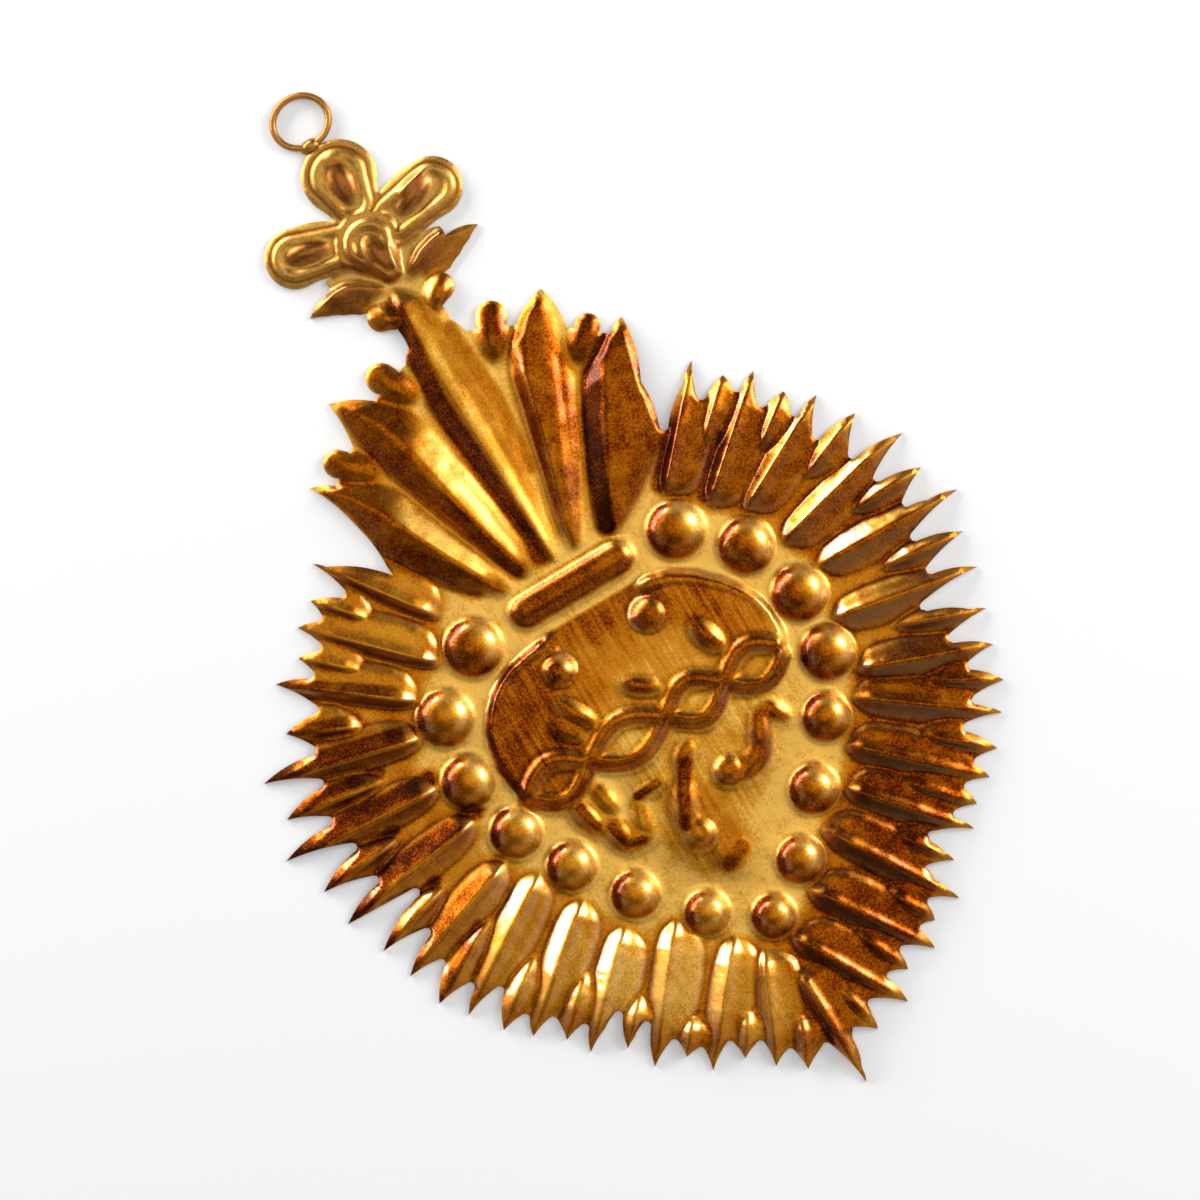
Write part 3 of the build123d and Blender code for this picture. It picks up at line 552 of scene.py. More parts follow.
def embossed_piece():
    """The sheet as a closed skin: its front, its hollow back and the cut edge between them."""
    plan, triangles = sheet_plan()
    count = len(plan)
    rim = {}
    for triangle in triangles:
        for start, end in zip(triangle, triangle[1:] + triangle[:1]):
            if rim.pop((end, start), None) is None:
                rim[(start, end)] = True
    front = SHEET_THICKNESS + sampled(relief, plan)
    back = np.maximum(front - SHEET_THICKNESS, 0)
    front[[start for start, _ in rim]] -= EDGE_ROUNDING
    points = np.vstack([np.column_stack([plan, front]), np.column_stack([plan, back])])
    under = [tuple(count + index for index in reversed(triangle)) for triangle in triangles]
    wall = [(end, start, count + start, count + end) for start, end in rim]
    piece = add_piece("embossed_sheet_relief", points, triangles + under + wall)
    rim_edges = {frozenset(edge) for edge in rim} | {frozenset((count + a, count + b)) for a, b in rim}
    for edge in piece.data.edges:
        edge.use_edge_sharp = frozenset(edge.vertices) in rim_edges
    return piece


low_ground = HEART_HEIGHT * heart_stand
near_rays = softened((ray_relief > RAY_FOOT).astype(float), RAY_ZONE_REACH)
near_metal = np.maximum(softened(metal, RAY_ZONE_REACH), LEAST_METAL)
ray_zone = eased(near_rays / near_metal, *RAY_ZONE_EDGE)
blurred_lobes = softened(lobes, LOBE_RIM_WIDTH)
lobe_rim = 4 * blurred_lobes * (1 - blurred_lobes)
stands_up = eased(relief - low_ground, *CRISP_RISE)
flower = FLOWER_CRISPNESS * eased(field_y, *FLOWER_START)
crisp = np.maximum.reduce([stands_up, ray_zone, lobe_rim, flower])
relief = softened(relief, FOOT_RADIUS) * (1 - crisp) + softened(relief, HAMMER_RADIUS) * crisp
relief *= 1 - LIP_FALL * (1 - eased(softened(metal, LIP_WIDTH), *LIP_EDGE))
relief += DENT_HEIGHT * uneven(DENT_SPACING, DENT_SPACING, layer=0)
relief += WRINKLE_HEIGHT * uneven(WRINKLE_SPACING, WRINKLE_SPACING, layer=3)
sheet = embossed_piece()
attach(sheet, "root")
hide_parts("embossed_sheet")

# Antique gilding of the sheet: khaki gold on the flat ground under a brown glaze, brushed over the raised
# forms.
# The glaze share also holds painted light: less glaze on the flanks that face up and right, towards the
# lamps, is painted highlight, and more in the creases and on the pearls' upper left is painted shade. Soot
# colour on the lower flanks and the tips is painted shade, and a clear lacquer makes the steep flanks shine.
GLAZE_REACH = 3.0
HEART_GLAZE_REACH = 1.5
BLEND_FALL = 2.5
# Shares of glaze on the raised forms and between the rays: x, y, share
GLAZE_PLACES = [
    (40, 8, 0.75), (30, 28, 0.75), (35, -2, 0.62), (35, -18, 0.82), (25, -28, 0.88), (15, -38, 0.88),
    (1, -48, 0.78), (6, -40, 0.82), (-6, -42, 0.30), (-14, -34, 0.12), (-22, -28, 0.14), (-32, -20, 0.35),
    (-38, -10, 0.52), (-40, 8, 0.66), (-38, 16, 0.62), (-30, 27, 0.50), (-22, 28, 0.42), (-17, 40, 0.75),
    (-11, 48, 0.78), (-6, 42, 0.66), (1, 32, 0.25), (5.5, 32, 0.75), (2, 45, 0.40), (2, 57, 0.42),
    (2, 63, 0.48), (10, 42, 0.80), (18, 38, 0.80), (-22, 10, 0.68), (25, 8, 0.80), (21, -12, 0.75),
    (8, -26, 0.70), (-12, -19, 0.52), (-15, 20, 0.80), (16, 20, 0.75), (0, 80, 0.15), (-9, 76, 0.15),
    (11, 75, 0.15), (-7, 68, 0.68), (9, 67, 0.68), (0, 20, 0.82), (-7, 57, 0.72), (10, 56, 0.80),
    (-17, 49, 0.72), (19, 48, 0.82), (-3, 64, 0.72), (6, 63, 0.78), (-8, -47, 0.62), (-16, -43, 0.60),
    (-23, -38, 0.60), (-30, -32, 0.60), (-38, -24, 0.65),
]
# Shares of glaze inside the heart
HEART_GLAZE = [
    (-14, 8, 0.82), (-10, 12, 0.80), (-16, 3, 0.84), (-6, 8, 0.62), (1, 15, 0.75), (1, 10, 0.52),
    (2, 5, 0.28), (8, 6, 0.35), (10, 12, 0.70), (14, 9, 0.74), (18, 5, 0.60), (-14, -2, 0.66),
    (-3, -1.5, 0.05), (7.5, -1.5, 0.08), (16, -1.5, 0.32), (-12, -8, 0.10), (-5, -8, 0.30), (5, -8, 0.22),
    (-1, -13, 0.52), (12, -11, 0.35), (16, -7, 0.15), (8, -18, 0.20), (1, -21.5, 0.55), (-6, -18, 0.40),
]
# Brush strokes of thick glaze: points, half width and share. Those on the left flanks of the flames and the
# upper flanks of the left rays are painted shade, on flanks that face away from the lamps.
GLAZE_AND_SHADE_STROKES = [
    ([(-1.0, 26), (-1.6, 40), (-2.2, 50), (-1.6, 57), (-0.8, 64)], 1.4, 0.90),
    ([(3.6, 37), (4.7, 47), (4.0, 58)], 1.0, 0.58),
    ([(8.8, 25), (11.0, 31), (14.2, 38), (17.6, 43.5), (20.6, 46)], 1.4, 1.0),
    ([(-4.6, 26), (-7.2, 35), (-9.4, 41), (-11.4, 47)], 1.2, 0.85),
    ([(-10.5, 27), (-14.5, 33), (-17.8, 38)], 1.6, 0.80),
    ([(-13.4, -5.5), (-12.6, -9.0)], 0.7, 0.85),
    ([(-11, -10), (-10.4, -13), (-8.2, -13.6)], 0.7, 0.86),
    ([(1.8, -7.5), (-0.6, -11), (-2.4, -14.6)], 1.0, 0.85),
    ([(-6, -8.2), (-2.8, -8)], 0.6, 0.85),
    ([(0, -22), (2.4, -21)], 1.2, 0.80),
    ([(12.2, 15.3), (15.2, 13.4), (18.3, 10.4), (20.8, 6.8)], 0.3, 0.90),
    ([(-19.2, -0.8), (-19.8, 4), (-18.8, 9), (-15.8, 13), (-12, 15)], 0.4, 0.97),
    ([(-9.3, -1.4), (-8.2, -0.6)], 1.1, 0.75),
    ([(2.0, -1.4), (3.2, -0.8)], 1.1, 0.75),
    ([(11.0, -1.4), (12.2, -0.8)], 1.1, 0.65),
    ([(-6, 22.6), (8, 22.8)], 0.6, 0.55),
    ([(-29, 7.9), (-43, 8.6), (-50.5, 7.8)], 1.3, 0.95),
    ([(-28, 14.6), (-41, 17.9), (-47.8, 18.6)], 1.3, 0.92),
    ([(-25.8, 1.2), (-40, -0.2), (-47.6, -3.2)], 1.3, 0.95),
    ([(-36, 4.4), (-43, 3.9), (-48.3, 2.1)], 0.9, 0.90),
    ([(-34, 12), (-42, 13.3), (-47.6, 12.9)], 0.9, 0.88),
    ([(-35, -4.2), (-41, -5.8), (-45.5, -8.7)], 0.9, 0.88),
    ([(-33, 19.8), (-42, 22.8)], 0.9, 0.85),
    ([(-27, 20.5), (-39.7, 29.0)], 0.9, 0.75),
    ([(-40, -10.2), (-44.2, -13.4)], 0.9, 0.85),
    ([(-33, -12.0), (-42.6, -18.5)], 0.8, 0.80),
    ([(-26.5, -6.2), (-34, -8.4), (-41.5, -11.4)], 0.9, 0.80),
    ([(17.6, 26.0), (29.0, 38.0)], 1.1, 0.92),
    ([(22.0, 21.8), (35.5, 32.8)], 1.1, 0.90),
]
STROKE_FADE = 1.6
# Shares of glaze by form, and the heights over which the forms take it
RAY_BED = 0.85
LEAF_GLAZE = 0.8
STRAND_GLAZE = 0.70
PETAL_GROOVE_SHADE = 0.60
BOSS_GLAZE = 0.66
FORM_FOOT = (0.1, 0.6)
HEART_FOOT = (0.05, 0.5)
ORNAMENT_FOOT = (0.1, 0.5)
CENTRE_PETAL_FOOT = (0, 0.1)
BOSS_EDGE = (0, 0.35)
PETAL_GROOVE = 0.80
PETAL_GROOVE_WIDTH = 0.07
# The leaves lie between these y, on both sides of the stem
LEAF_BOTTOM = (61.5, 64)
LEAF_TOP = (69, 71)
STEM_X = 1
STEM_SIDE = (3.0, 4.5)
# Streaks of the brush in the heart: their share, and their steps across and along
BRUSH_STREAK = 0.22
BRUSH_STREAK_STEPS = (0.45, 9.0)


def blended(places, reach):
    """A share over the field, blended between listed places (x, y, share)."""
    weighted, weights = 0, 0
    for x, y, share in places:
        weight = ((field_x - x) ** 2 + (field_y - y) ** 2 + reach**2) ** -BLEND_FALL
        weighted = weighted + weight * share
        weights = weights + weight
    return weighted / weights


glaze_and_painted_light = blended(GLAZE_PLACES, GLAZE_REACH)
beside_stem = eased(abs(field_x - STEM_X), *STEM_SIDE)
leaf_zone = eased(field_y, *LEAF_BOTTOM) * (1 - eased(field_y, *LEAF_TOP)) * beside_stem
raised_forms = eased(relief - low_ground, *FORM_FOOT)
glaze_and_painted_light *= np.maximum.reduce([raised_forms, RAY_BED * ray_zone, LEAF_GLAZE * leaf_zone])
brushed = blended(HEART_GLAZE, HEART_GLAZE_REACH) + BRUSH_STREAK * uneven(*BRUSH_STREAK_STEPS, layer=5)
glaze_and_painted_light = np.maximum(glaze_and_painted_light, eased(np.maximum(heart_area, mound), *HEART_FOOT) * brushed)
glaze_and_painted_light = np.maximum(glaze_and_painted_light, STRAND_GLAZE * eased(np.maximum(*strands), *ORNAMENT_FOOT))
outside_centre = 1 - eased(centre_petal, *CENTRE_PETAL_FOOT)
# Painted shade: more glaze in the groove of each petal
for ends in PETALS:
    groove = swell(pod_share(ends), PETAL_GROOVE, PETAL_GROOVE_WIDTH)
    glaze_and_painted_light = np.maximum(glaze_and_painted_light, PETAL_GROOVE_SHADE * groove * outside_centre)
for ends in BOSSES:
    glaze_and_painted_light = np.maximum(glaze_and_painted_light, BOSS_GLAZE * eased(1 - oval_share(ends), *BOSS_EDGE))
# Glaze strokes, painted shade where they lie on flanks that face away from the lamps
for points, half_width, share in GLAZE_AND_SHADE_STROKES:
    glaze_and_painted_light = np.maximum(glaze_and_painted_light, share * eased(STROKE_FADE - line_distance(points) / half_width, 0, 1))

# Painted highlight: glaze is taken off the flanks that lean up and to the right of the charm, towards the
# lamps, so they show paler gold. Each range gives the lean at which it starts to thin and at which it is
# gone.
SLOPE_BLUR = 0.25
UPWARD = (0.1, 0.97)
RIGHTWARD = (1, 0.2)
PEARL_SIDE = (1, 0.15)
HIGHLIGHT_UP = (0.55, 0.75)
HIGHLIGHT_RIGHT = (0.35, 0.8)
HIGHLIGHT_PEARLS = (-0.15, 0.7)
HIGHLIGHT_FLAMES = (0.2, 0.5)
TOO_STEEP = (0.95, 1.15)
HIGHLIGHT_SHARE = 0.92
# The painted highlight leaves out patches of the rays and most of one ray
HIGHLIGHT_GAPS = 0.55
PATCH_STEP = 1.3
PATCH_EDGE = (0.1, 0.35)
RAY_WITHOUT_HIGHLIGHT = [(-27, -6.4), (-34, -8.4), (-42, -11.6)]
RAY_WITHOUT_HIGHLIGHT_WIDTH = 1.5
RAY_WITHOUT_HIGHLIGHT_SHARE = 0.75
# The left flames get it on their right flanks below their tips; the right flames and the buds are spared
FLAME_FOOT = (0.05, 0.3)
LEFT_FLAMES = (-3, -1)
LEFT_FLAME_TIPS = (50, 58)
TIP_LINE_SLANT = 0.9
RIGHT_FLAMES = (-1, 1)
BUD_FOOT = (0.1, 0.4)
NO_HIGHLIGHT_SHARE = 0.8
# A pale strip along the crest of the middle flame, on its side towards the window: painted highlight
PALE_STRIP = [(0.8, 26), (1.0, 40), (1.0, 50), (0.9, 62)]
STRIP_WIDTH = 0.7
STRIP_HIGHLIGHT = 0.6

slope_y, slope_x = np.gradient(softened(relief, SLOPE_BLUR), FIELD_STEP)
steepness = np.hypot(slope_x, slope_y)


def leaning(x, y):
    """How steeply the sheet's front leans towards a direction, over the field."""
    return -x * slope_x - y * slope_y


# Painted highlight on the ray flanks that lean up, then on flanks leaning right, pearls' right sides and
# left flames
painted_highlight_up = ray_zone * eased(leaning(*UPWARD), *HIGHLIGHT_UP) * (1 - eased(steepness, *TOO_STEEP))
painted_highlight_up *= 1 - HIGHLIGHT_GAPS * eased(uneven(PATCH_STEP, PATCH_STEP, layer=7), *PATCH_EDGE)
painted_highlight_up *= 1 - RAY_WITHOUT_HIGHLIGHT_SHARE * swell(line_distance(RAY_WITHOUT_HIGHLIGHT), 0, RAY_WITHOUT_HIGHLIGHT_WIDTH)
painted_highlight = np.maximum(painted_highlight_up, eased(leaning(*RIGHTWARD), *HIGHLIGHT_RIGHT))
on_pearls = eased(pearl_relief, *ORNAMENT_FOOT)
painted_highlight = np.maximum(painted_highlight, on_pearls * eased(leaning(*PEARL_SIDE), *HIGHLIGHT_PEARLS))
on_flames = eased(flame_relief, *FLAME_FOOT)
below_tips = 1 - eased(field_y - TIP_LINE_SLANT * field_x, *LEFT_FLAME_TIPS)
left_flames = on_flames * (1 - eased(field_x, *LEFT_FLAMES)) * below_tips
painted_highlight = np.maximum(painted_highlight, left_flames * eased(leaning(*RIGHTWARD), *HIGHLIGHT_FLAMES))
right_flames = on_flames * eased(field_x, *RIGHT_FLAMES)
no_highlight = NO_HIGHLIGHT_SHARE * np.maximum(right_flames, eased(bud_relief, *BUD_FOOT))
# Painted highlight: less glaze, so paler gold, where the flanks face the lamps
glaze_and_painted_light *= 1 - HIGHLIGHT_SHARE * painted_highlight * (1 - no_highlight)
glaze_and_painted_light *= 1 - STRIP_HIGHLIGHT * swell(line_distance(PALE_STRIP), 0, STRIP_WIDTH)

# More glaze: painted shade in the creases of the rays, flames and heart, fine streaks of glaze on the
# ground, and painted shade on the upper left of each pearl.
CREASE_WIDTH = 0.7
CREASE_DEPTH = (0.04, 0.18)
CREASE_SHADE_SHARE = 0.55
CHASED_REACH = 1.5
CHASED_SHARE = 0.7
HEART_STANDS = (0.3, 0.8)
GROUND_STREAK = 0.20
GROUND_STREAK_STEPS = (0.5, 7.0)
UPPER_LEFT = (-0.7, 0.7)
PEARL_SHADE = 0.90
PEARL_SHADE_LEAN = (0.15, 0.7)

near_flames = eased(softened(flame_relief, CHASED_REACH), *ORNAMENT_FOOT)
chased_zone = CHASED_SHARE * np.maximum(near_flames, eased(heart_stand, *HEART_STANDS))
crease_shade = eased(softened(relief, CREASE_WIDTH) - relief, *CREASE_DEPTH) * np.maximum(ray_zone, chased_zone)
# Painted shade in the creases
glaze_and_painted_light += CREASE_SHADE_SHARE * crease_shade * (1 - glaze_and_painted_light)
glaze_and_painted_light += GROUND_STREAK * np.maximum(uneven(*GROUND_STREAK_STEPS, layer=9), 0) * (1 - glaze_and_painted_light)
# Painted shade on the upper left of each pearl
glaze_and_painted_light = np.maximum(glaze_and_painted_light, PEARL_SHADE * on_pearls * eased(leaning(*UPPER_LEFT), *PEARL_SHADE_LEAN))

# Soot colour and lacquer: soot colour on the flanks that lean down the charm and on the tips is painted
# shade, and on the flower it is soot. The lacquer shines where the metal is steep, and is dull on those
# lower flanks, on thick glaze and at the tips.
PAINTED_SHADE_REACH = 4.0
# Shares of painted shade on the lower flanks and the tips: x, y, share
PAINTED_SHADE_PLACES = [
    (35, 5, 0.78), (38, 20, 0.75), (30, -20, 0.75), (10, -40, 0.65), (-4, -45, 0.25), (-12, -36, 0.12),
    (-25, -28, 0.08), (-36, -14, 0.08), (-40, 5, 0.06), (-38, 16, 0.20), (-28, 28, 0.60), (-15, 40, 0.15),
    (0, 45, 0.05), (15, 40, 0.10), (0, 10, 0.05), (0, -10, 0.05), (0, 60, 0.30), (0, 78, 0.40),
]
DOWNWARD = (-0.35, -0.94)
SHADED_LEAN = (0.35, 0.75)
TIP_REACH = 1.6
TIP_EDGE = (0.40, 0.75)
TIP_GLAZE = 0.45
GLAZED_TIPS = (-20, 0)
TIP_SHADE = 0.35
FLOWER_SOOT = 0.45
FLOWER_SOOT_START = (62, 70)
LACQUER_SHARE = 0.8
LEAST_LACQUER = 0.5
SHINY_STEEPNESS = (0.35, 0.65)
TIP_DULLS = 0.7
THICK_GLAZE = (0.65, 0.82)
THICK_GLAZE_DULLS = 0.8
LOWER_SIDE = (0.2, 0.55)
LOWER_SIDE_DULLS = 0.9

tips = ray_zone * (1 - eased(softened(metal, TIP_REACH), *TIP_EDGE))
glaze_and_painted_light += (TIP_GLAZE - glaze_and_painted_light) * tips * eased(field_x, *GLAZED_TIPS)
# Painted shade: soot colour on the flanks that lean down the charm and on the tips
shaded_lower_side = eased(leaning(*DOWNWARD), *SHADED_LEAN) * (1 - on_pearls)
soot_and_painted_shade = blended(PAINTED_SHADE_PLACES, PAINTED_SHADE_REACH) * np.maximum(shaded_lower_side, TIP_SHADE * tips)
soot_and_painted_shade = np.maximum(soot_and_painted_shade, FLOWER_SOOT * eased(field_y, *FLOWER_SOOT_START))
lacquered = np.maximum(np.maximum.reduce([ray_zone, on_pearls, lobe_rim]), LEAST_LACQUER)
lacquer = LACQUER_SHARE * lacquered * eased(steepness, *SHINY_STEEPNESS) * (1 - TIP_DULLS * tips)
lacquer *= 1 - THICK_GLAZE_DULLS * eased(glaze_and_painted_light, *THICK_GLAZE)
lacquer *= 1 - LOWER_SIDE_DULLS * eased(leaning(*DOWNWARD), *LOWER_SIDE)

# Gilt finish: gold that turns brown, red and dark as the glaze share grows, with soot colour mixed in and
# lacquer over it; both shares hold painted highlight and shade besides glaze and soot. Speckles of bronze
# powder and soft blotches break up the colour.
PALE_GOLD = (0.88, 0.50, 0.095, 1)
WARM_GOLD = (0.60, 0.25, 0.018, 1)
BROWN_GLAZE = (0.40, 0.11, 0.003, 1)
RED_GLAZE = (0.17, 0.025, 0.001, 1)
DARK_GLAZE = (0.045, 0.009, 0.001, 1)
SOOT_AND_SHADE_COLOUR = (0.22, 0.11, 0.04, 1)
GLAZE_COLOURS = [
    (0.0, PALE_GOLD), (0.3, WARM_GOLD), (0.65, BROWN_GLAZE), (0.88, RED_GLAZE), (1.0, DARK_GLAZE),
]
GRAIN_SIZE = 0.28 * MM
GRAIN_DETAIL = 3.0
GRAIN_STRENGTH = 0.14
GRAIN_BUMP = 0.25
GRAIN_DEPTH = 0.06 * MM
BLOTCH_SIZE = 2.5 * MM
BLOTCH_DETAIL = 4.0
BLOTCH_STRENGTH = 0.10
NOISE_LOW = 0.3
NOISE_HIGH = 0.7
# The finish is rougher where the glaze is thin than where it is caked
THIN_GLAZE = 0.1
CAKED_GLAZE = 0.8
THIN_ROUGHNESS = 0.44
CAKED_ROUGHNESS = 0.30
LACQUER_ROUGHNESS = 0.1
LACQUER_IOR = 1.8


def paint(piece, name, shares):
    """Keeps a share for each point of a piece, for its material to read."""
    layer = piece.data.attributes.new(name, "FLOAT", "POINT")
    layer.data.foreach_set("value", np.asarray(shares, np.float32))


def node(tree, kind, inputs=None, **settings):
    """One shader node with its settings and its input values or links."""
    made = tree.nodes.new(kind)
    for name, value in settings.items():
        setattr(made, name, value)
    for name, value in (inputs or {}).items():
        if isinstance(value, bpy.types.NodeSocket):
            tree.links.new(value, made.inputs[name])
        else:
            made.inputs[name].default_value = value
    return made


def combined(tree, operation, first, second):
    """Two values put together by an operation."""
    return node(tree, "ShaderNodeMath", {0: first, 1: second}, operation=operation).outputs["Value"]


def ramp(tree, share, stops):
    """A colour for a share, blended between stops of (share, colour)."""
    made = node(tree, "ShaderNodeValToRGB", {"Fac": share})
    elements = made.color_ramp.elements
    while len(elements) < len(stops):
        elements.new(0.5)
    for element, (position, colour) in zip(elements, stops):
        element.position = position
        element.color = colour
    return made.outputs["Color"]


def new_finish(name):
    """An empty material, its node tree and its surface shader."""
    finish = bpy.data.materials.new(name)
    finish.use_nodes = True
    tree = finish.node_tree
    return finish, tree, tree.nodes["Principled BSDF"]


def mapped(tree, value, start, end, low, high):
    """A value that runs from low to high as another one runs from start to end."""
    return node(tree, "ShaderNodeMapRange", {
        "Value": value, "From Min": start, "From Max": end, "To Min": low, "To Max": high,
    }).outputs["Result"]


def gilt_finish():
    """Gold, brown glaze speckled at the scale of bronze powder, soot colour and lacquer; glaze and soot hold
    painted light.
    """
    finish, tree, surface = new_finish("antique_gilt")
    place = node(tree, "ShaderNodeTexCoord").outputs["Object"]
    glaze_and_light_share, soot_and_shade_share, lacquer_share = (
        node(tree, "ShaderNodeAttribute", attribute_name=name).outputs["Fac"]
        for name in ("glaze_and_painted_light", "soot_and_painted_shade", "lacquer")
    )
    grain = node(tree, "ShaderNodeTexNoise", {
        "Vector": place, "Scale": 1 / GRAIN_SIZE, "Detail": GRAIN_DETAIL,
    }).outputs["Fac"]
    blotch = node(tree, "ShaderNodeTexNoise", {
        "Vector": place, "Scale": 1 / BLOTCH_SIZE, "Detail": BLOTCH_DETAIL,
    }).outputs["Fac"]
    speckle = mapped(tree, grain, NOISE_LOW, NOISE_HIGH, -GRAIN_STRENGTH, GRAIN_STRENGTH)
    cloud = mapped(tree, blotch, NOISE_LOW, NOISE_HIGH, -BLOTCH_STRENGTH, BLOTCH_STRENGTH)
    mottle = combined(tree, "ADD", speckle, cloud)
    share = combined(tree, "ADD", glaze_and_light_share, mottle)
    glazed = ramp(tree, share, GLAZE_COLOURS)
    sooty_and_shaded = node(tree, "ShaderNodeMix", {0: soot_and_shade_share, 6: glazed, 7: SOOT_AND_SHADE_COLOUR}, data_type="RGBA")
    tooth = node(tree, "ShaderNodeBump", {
        "Height": grain, "Strength": GRAIN_BUMP, "Distance": GRAIN_DEPTH,
    })
    tree.links.new(sooty_and_shaded.outputs[2], surface.inputs["Base Color"])
    satin = mapped(tree, share, THIN_GLAZE, CAKED_GLAZE, THIN_ROUGHNESS, CAKED_ROUGHNESS)
    tree.links.new(satin, surface.inputs["Roughness"])
    tree.links.new(lacquer_share, surface.inputs["Coat Weight"])
    tree.links.new(tooth.outputs["Normal"], surface.inputs["Normal"])
    surface.inputs["Metallic"].default_value = 1.0
    surface.inputs["Coat Roughness"].default_value = LACQUER_ROUGHNESS
    surface.inputs["Coat IOR"].default_value = LACQUER_IOR
    return finish


sheet_points = np.array([vertex.co[:2] for vertex in sheet.data.vertices]) / MM
for name, shares in (("glaze_and_painted_light", glaze_and_painted_light), ("soot_and_painted_shade", soot_and_painted_shade), ("lacquer", lacquer)):
    paint(sheet, name, sampled(shares, sheet_points))
sheet.data.materials.append(gilt_finish())

# Hanging ring: a slightly oval loop of thin wire, bent by hand and closed at its foot, where the solder
# hides the joint.  It lies flat against the table like the sheet.
RING_STEPS = 180
WIRE_STEPS = 24
WIRE_WOBBLE = 0.02
WOBBLE_DENSITY = 3
RING_GLAZE = 0.35
RING_SOOT = 0.4
RING_LACQUER = 0.2

ring_low, ring_high = (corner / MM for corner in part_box("hanging_ring"))
wire_radius = (ring_high.z - ring_low.z) / 2


def ring_piece():
    """The wire swept round an oval, with the small unevenness of hand bending."""
    middle = (ring_low + ring_high) / 2
    across = (ring_high.x - ring_low.x) / 2 - wire_radius
    along = (ring_high.y - ring_low.y) / 2 - wire_radius
    points = []
    for step in range(RING_STEPS):
        turn = 2 * pi * step / RING_STEPS
        outward = Vector((cos(turn), sin(turn), 0))
        for part in range(WIRE_STEPS):
            roll = 2 * pi * part / WIRE_STEPS
            wobble = noise.noise(outward * WOBBLE_DENSITY + Vector((0, 0, cos(roll))))
            radius = wire_radius - WIRE_WOBBLE * (1 + wobble)
            place = middle + Vector((across * cos(turn), along * sin(turn), 0))
            points.append(place + outward * (radius * cos(roll)) + Vector((0, 0, radius * sin(roll))))
    faces = []
    for step in range(RING_STEPS):
        after = (step + 1) % RING_STEPS
        for part in range(WIRE_STEPS):
            beside = (part + 1) % WIRE_STEPS
            faces.append(tuple(
                row * WIRE_STEPS + column
                for row, column in ((step, part), (after, part), (after, beside), (step, beside))
            ))
    return add_piece("hanging_ring_wire", points, faces)


def paint_evenly(piece, glaze_and_light_share, soot_and_shade_share, lacquer_share):
    """The same shares of glaze, soot and lacquer all over a piece."""
    for name, share in (("glaze_and_painted_light", glaze_and_light_share), ("soot_and_painted_shade", soot_and_shade_share), ("lacquer", lacquer_share)):
        paint(piece, name, np.full(len(piece.data.vertices), share))


ring = ring_piece()
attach(ring, "root")
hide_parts("hanging_ring")
paint_evenly(ring, RING_GLAZE, RING_SOOT, RING_LACQUER)
ring.data.materials.append(gilt_finish())

# Solder: a small bead of soft metal, melted over the foot of the ring and the edge of the top petal so that
# it holds both, then gilded with the rest.
BEAD_STEPS = 48
BEAD_RINGS = 20
BEAD_HALF_WIDTH = 1.45
BEAD_HALF_LENGTH = 1.0
LUMP_SHARE = 0.12
LUMP_DENSITY = 1.3
BEAD_GLAZE = 0.35
BEAD_SOOT = 0.45
BEAD_LACQUER = 0.2

bead_low, bead_high = (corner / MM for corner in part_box("ring_solder"))


def bead_piece():
    """A rounded bead, flat under and lumpy on top."""
    middle = Vector(((bead_low.x + bead_high.x) / 2, (bead_low.y + bead_high.y) / 2, bead_low.z))
    height = bead_high.z - bead_low.z
    points = [middle + Vector((0, 0, height))]
    for row in range(1, BEAD_RINGS + 1):
        tilt = pi / 2 * row / BEAD_RINGS
        for step in range(BEAD_STEPS):
            turn = 2 * pi * step / BEAD_STEPS
            outward = Vector((BEAD_HALF_WIDTH * cos(turn), BEAD_HALF_LENGTH * sin(turn), 0)) * sin(tilt)
            place = middle + outward + Vector((0, 0, height * cos(tilt)))
            points.append(place + outward * (LUMP_SHARE * noise.noise(place * LUMP_DENSITY)))
    faces = [(0, 1 + step, 1 + (step + 1) % BEAD_STEPS) for step in range(BEAD_STEPS)]
    for row in range(BEAD_RINGS - 1):
        for step in range(BEAD_STEPS):
            after = (step + 1) % BEAD_STEPS
            inner, outer = 1 + row * BEAD_STEPS, 1 + (row + 1) * BEAD_STEPS
            faces.append((inner + step, outer + step, outer + after, inner + after))
    faces.append(tuple(reversed(range(1 + (BEAD_RINGS - 1) * BEAD_STEPS, 1 + BEAD_RINGS * BEAD_STEPS))))
    return add_piece("ring_solder_bead", points, faces)


bead = bead_piece()
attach(bead, "root")
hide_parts("ring_solder")
paint_evenly(bead, BEAD_GLAZE, BEAD_SOOT, BEAD_LACQUER)
bead.data.materials.append(gilt_finish())

# Table: a plain white board that the charm lies on.  What the camera and the metal see of it is white, and
# it still takes the charm's shadow.
TABLE_HALF = 1.5
TABLE_WHITE = (0.70, 0.70, 0.70, 1)
TABLE_ROUGHNESS = 0.9
TABLE_GLOW = 0.16
WHITE = (1, 1, 1, 1)


def table_finish():
    """Matt white, lifted to white where it is seen directly or in the metal."""
    finish, tree, surface = new_finish("white_board")
    surface.inputs["Base Color"].default_value = TABLE_WHITE
    surface.inputs["Roughness"].default_value = TABLE_ROUGHNESS
    surface.inputs["Emission Color"].default_value = WHITE
    light = node(tree, "ShaderNodeLightPath").outputs
    seen = combined(tree, "MAXIMUM", light["Is Camera Ray"], light["Is Glossy Ray"])
    seen = combined(tree, "MAXIMUM", seen, light["Is Transmission Ray"])
    glow = combined(tree, "MULTIPLY", seen, TABLE_GLOW)
    tree.links.new(glow, surface.inputs["Emission Strength"])
    return finish


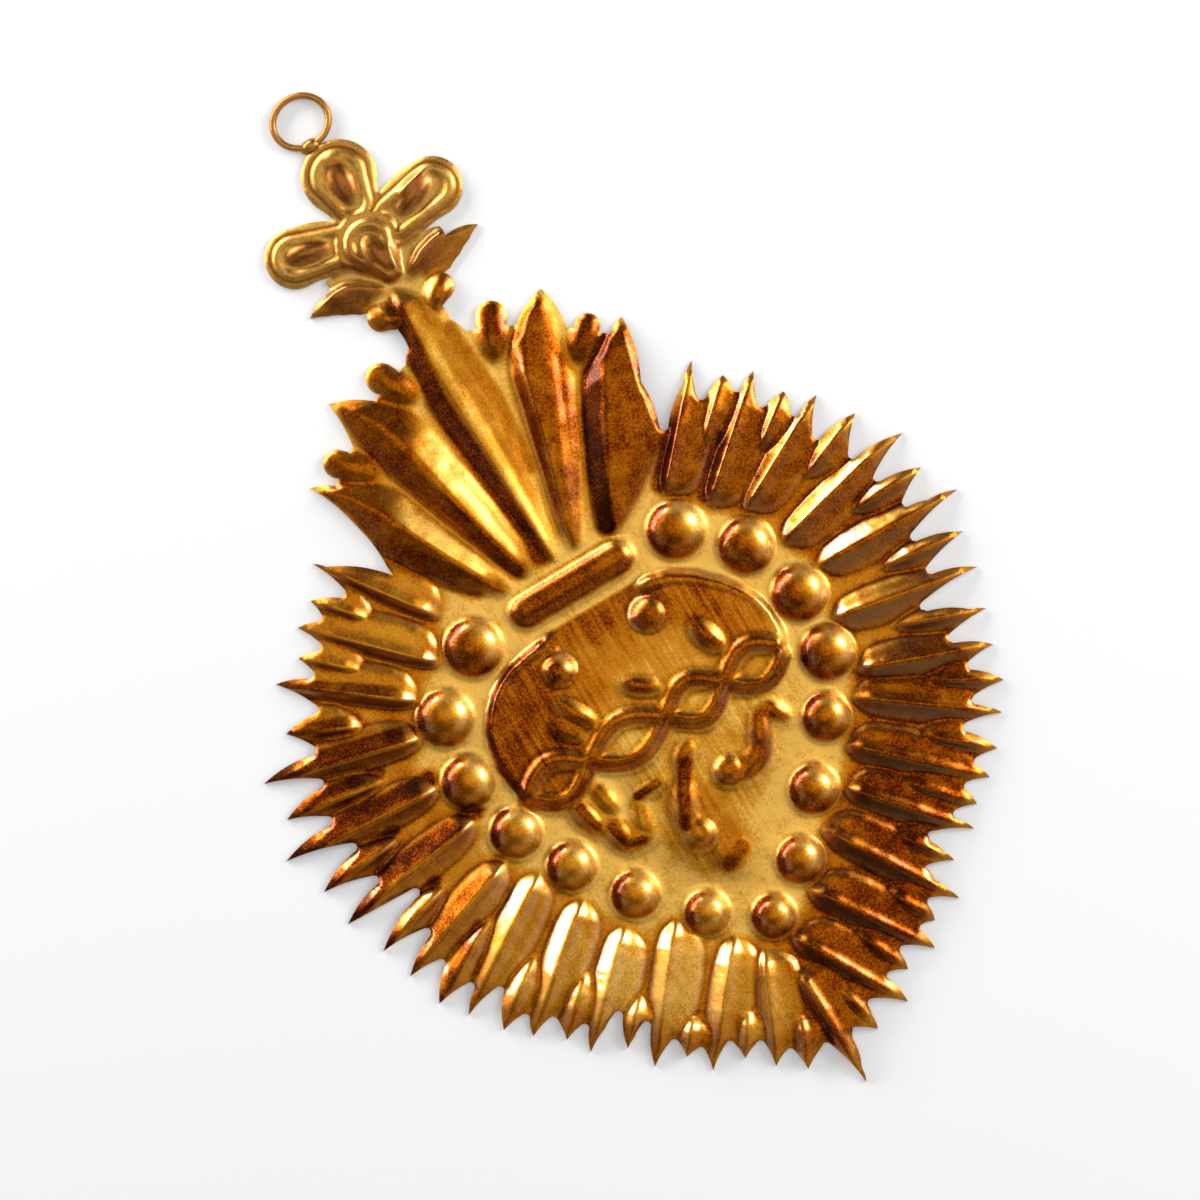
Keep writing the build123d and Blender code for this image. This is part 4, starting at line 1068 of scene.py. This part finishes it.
table_mesh = bpy.data.meshes.new("table")
table_corners = [(x * TABLE_HALF, y * TABLE_HALF, 0) for x, y in ((-1, -1), (1, -1), (1, 1), (-1, 1))]
table_mesh.from_pydata(table_corners, [], [(0, 1, 2, 3)])
table_mesh.materials.append(table_finish())
table = bpy.data.objects.new("table", table_mesh)
bpy.context.scene.collection.objects.link(table)

# Camera: straight above the table, turned so that the charm lies on the slant with its ring at the upper
# left.  The long lens keeps the raised forms upright.
PHOTO_TURN = radians(-30.56)
PHOTO_MIDDLE = Vector((2.97, 16.83, 0)) * MM
PHOTO_WIDTH = 160 * MM
LENS = 100
SENSOR = 36

camera = bpy.data.objects.new("camera", bpy.data.cameras.new("camera"))
camera.data.lens = LENS
camera.data.sensor_width = SENSOR
camera.location = PHOTO_MIDDLE + Vector((0, 0, PHOTO_WIDTH * LENS / SENSOR))
camera.rotation_euler = (0, 0, PHOTO_TURN)
bpy.context.scene.collection.objects.link(camera)
bpy.context.scene.camera = camera

# Light: a small bright window at the upper right of the picture with its glow, a low white screen at the
# upper left, dim walls, a broad soft ceiling and a dim room.  Each lamp gives its bearing and height in
# degrees, its width and height in metres, and its radiance.
ROOM_LIGHT = 0.13
LAMP_DISTANCE = 0.55
LAMPS = {
    "window": (30, 26, 0.28, 0.24, 10.0),
    "window_glow": (-5, 38, 0.80, 0.50, 0.65),
    "screen": (144, 15, 0.68, 0.15, 15.5),
    "left_wall": (205, 32, 0.50, 0.40, 0.35),
    "far_wall": (-75, 24, 0.60, 0.40, 0.45),
    "ceiling": (90, 82, 0.50, 0.50, 1.08),
}

for lamp_name, (bearing, height_angle, width, height, radiance) in LAMPS.items():
    lamp_data = bpy.data.lights.new(lamp_name, "AREA")
    lamp_data.shape = "RECTANGLE"
    lamp_data.size = width
    lamp_data.size_y = height
    lamp_data.energy = radiance * pi * width * height
    lamp = bpy.data.objects.new(lamp_name, lamp_data)
    turn = radians(bearing) + PHOTO_TURN
    lift = radians(height_angle)
    toward_lamp = Vector((cos(turn) * cos(lift), sin(turn) * cos(lift), sin(lift)))
    lamp.location = PHOTO_MIDDLE + toward_lamp * LAMP_DISTANCE
    lamp.rotation_euler = toward_lamp.to_track_quat("Z", "Y").to_euler()
    bpy.context.scene.collection.objects.link(lamp)

world = bpy.data.worlds.new("room")
world.use_nodes = True
world.node_tree.nodes["Background"].inputs["Color"].default_value = WHITE
world.node_tree.nodes["Background"].inputs["Strength"].default_value = ROOM_LIGHT
bpy.context.scene.world = world
bpy.context.scene.view_settings.view_transform = "Standard"
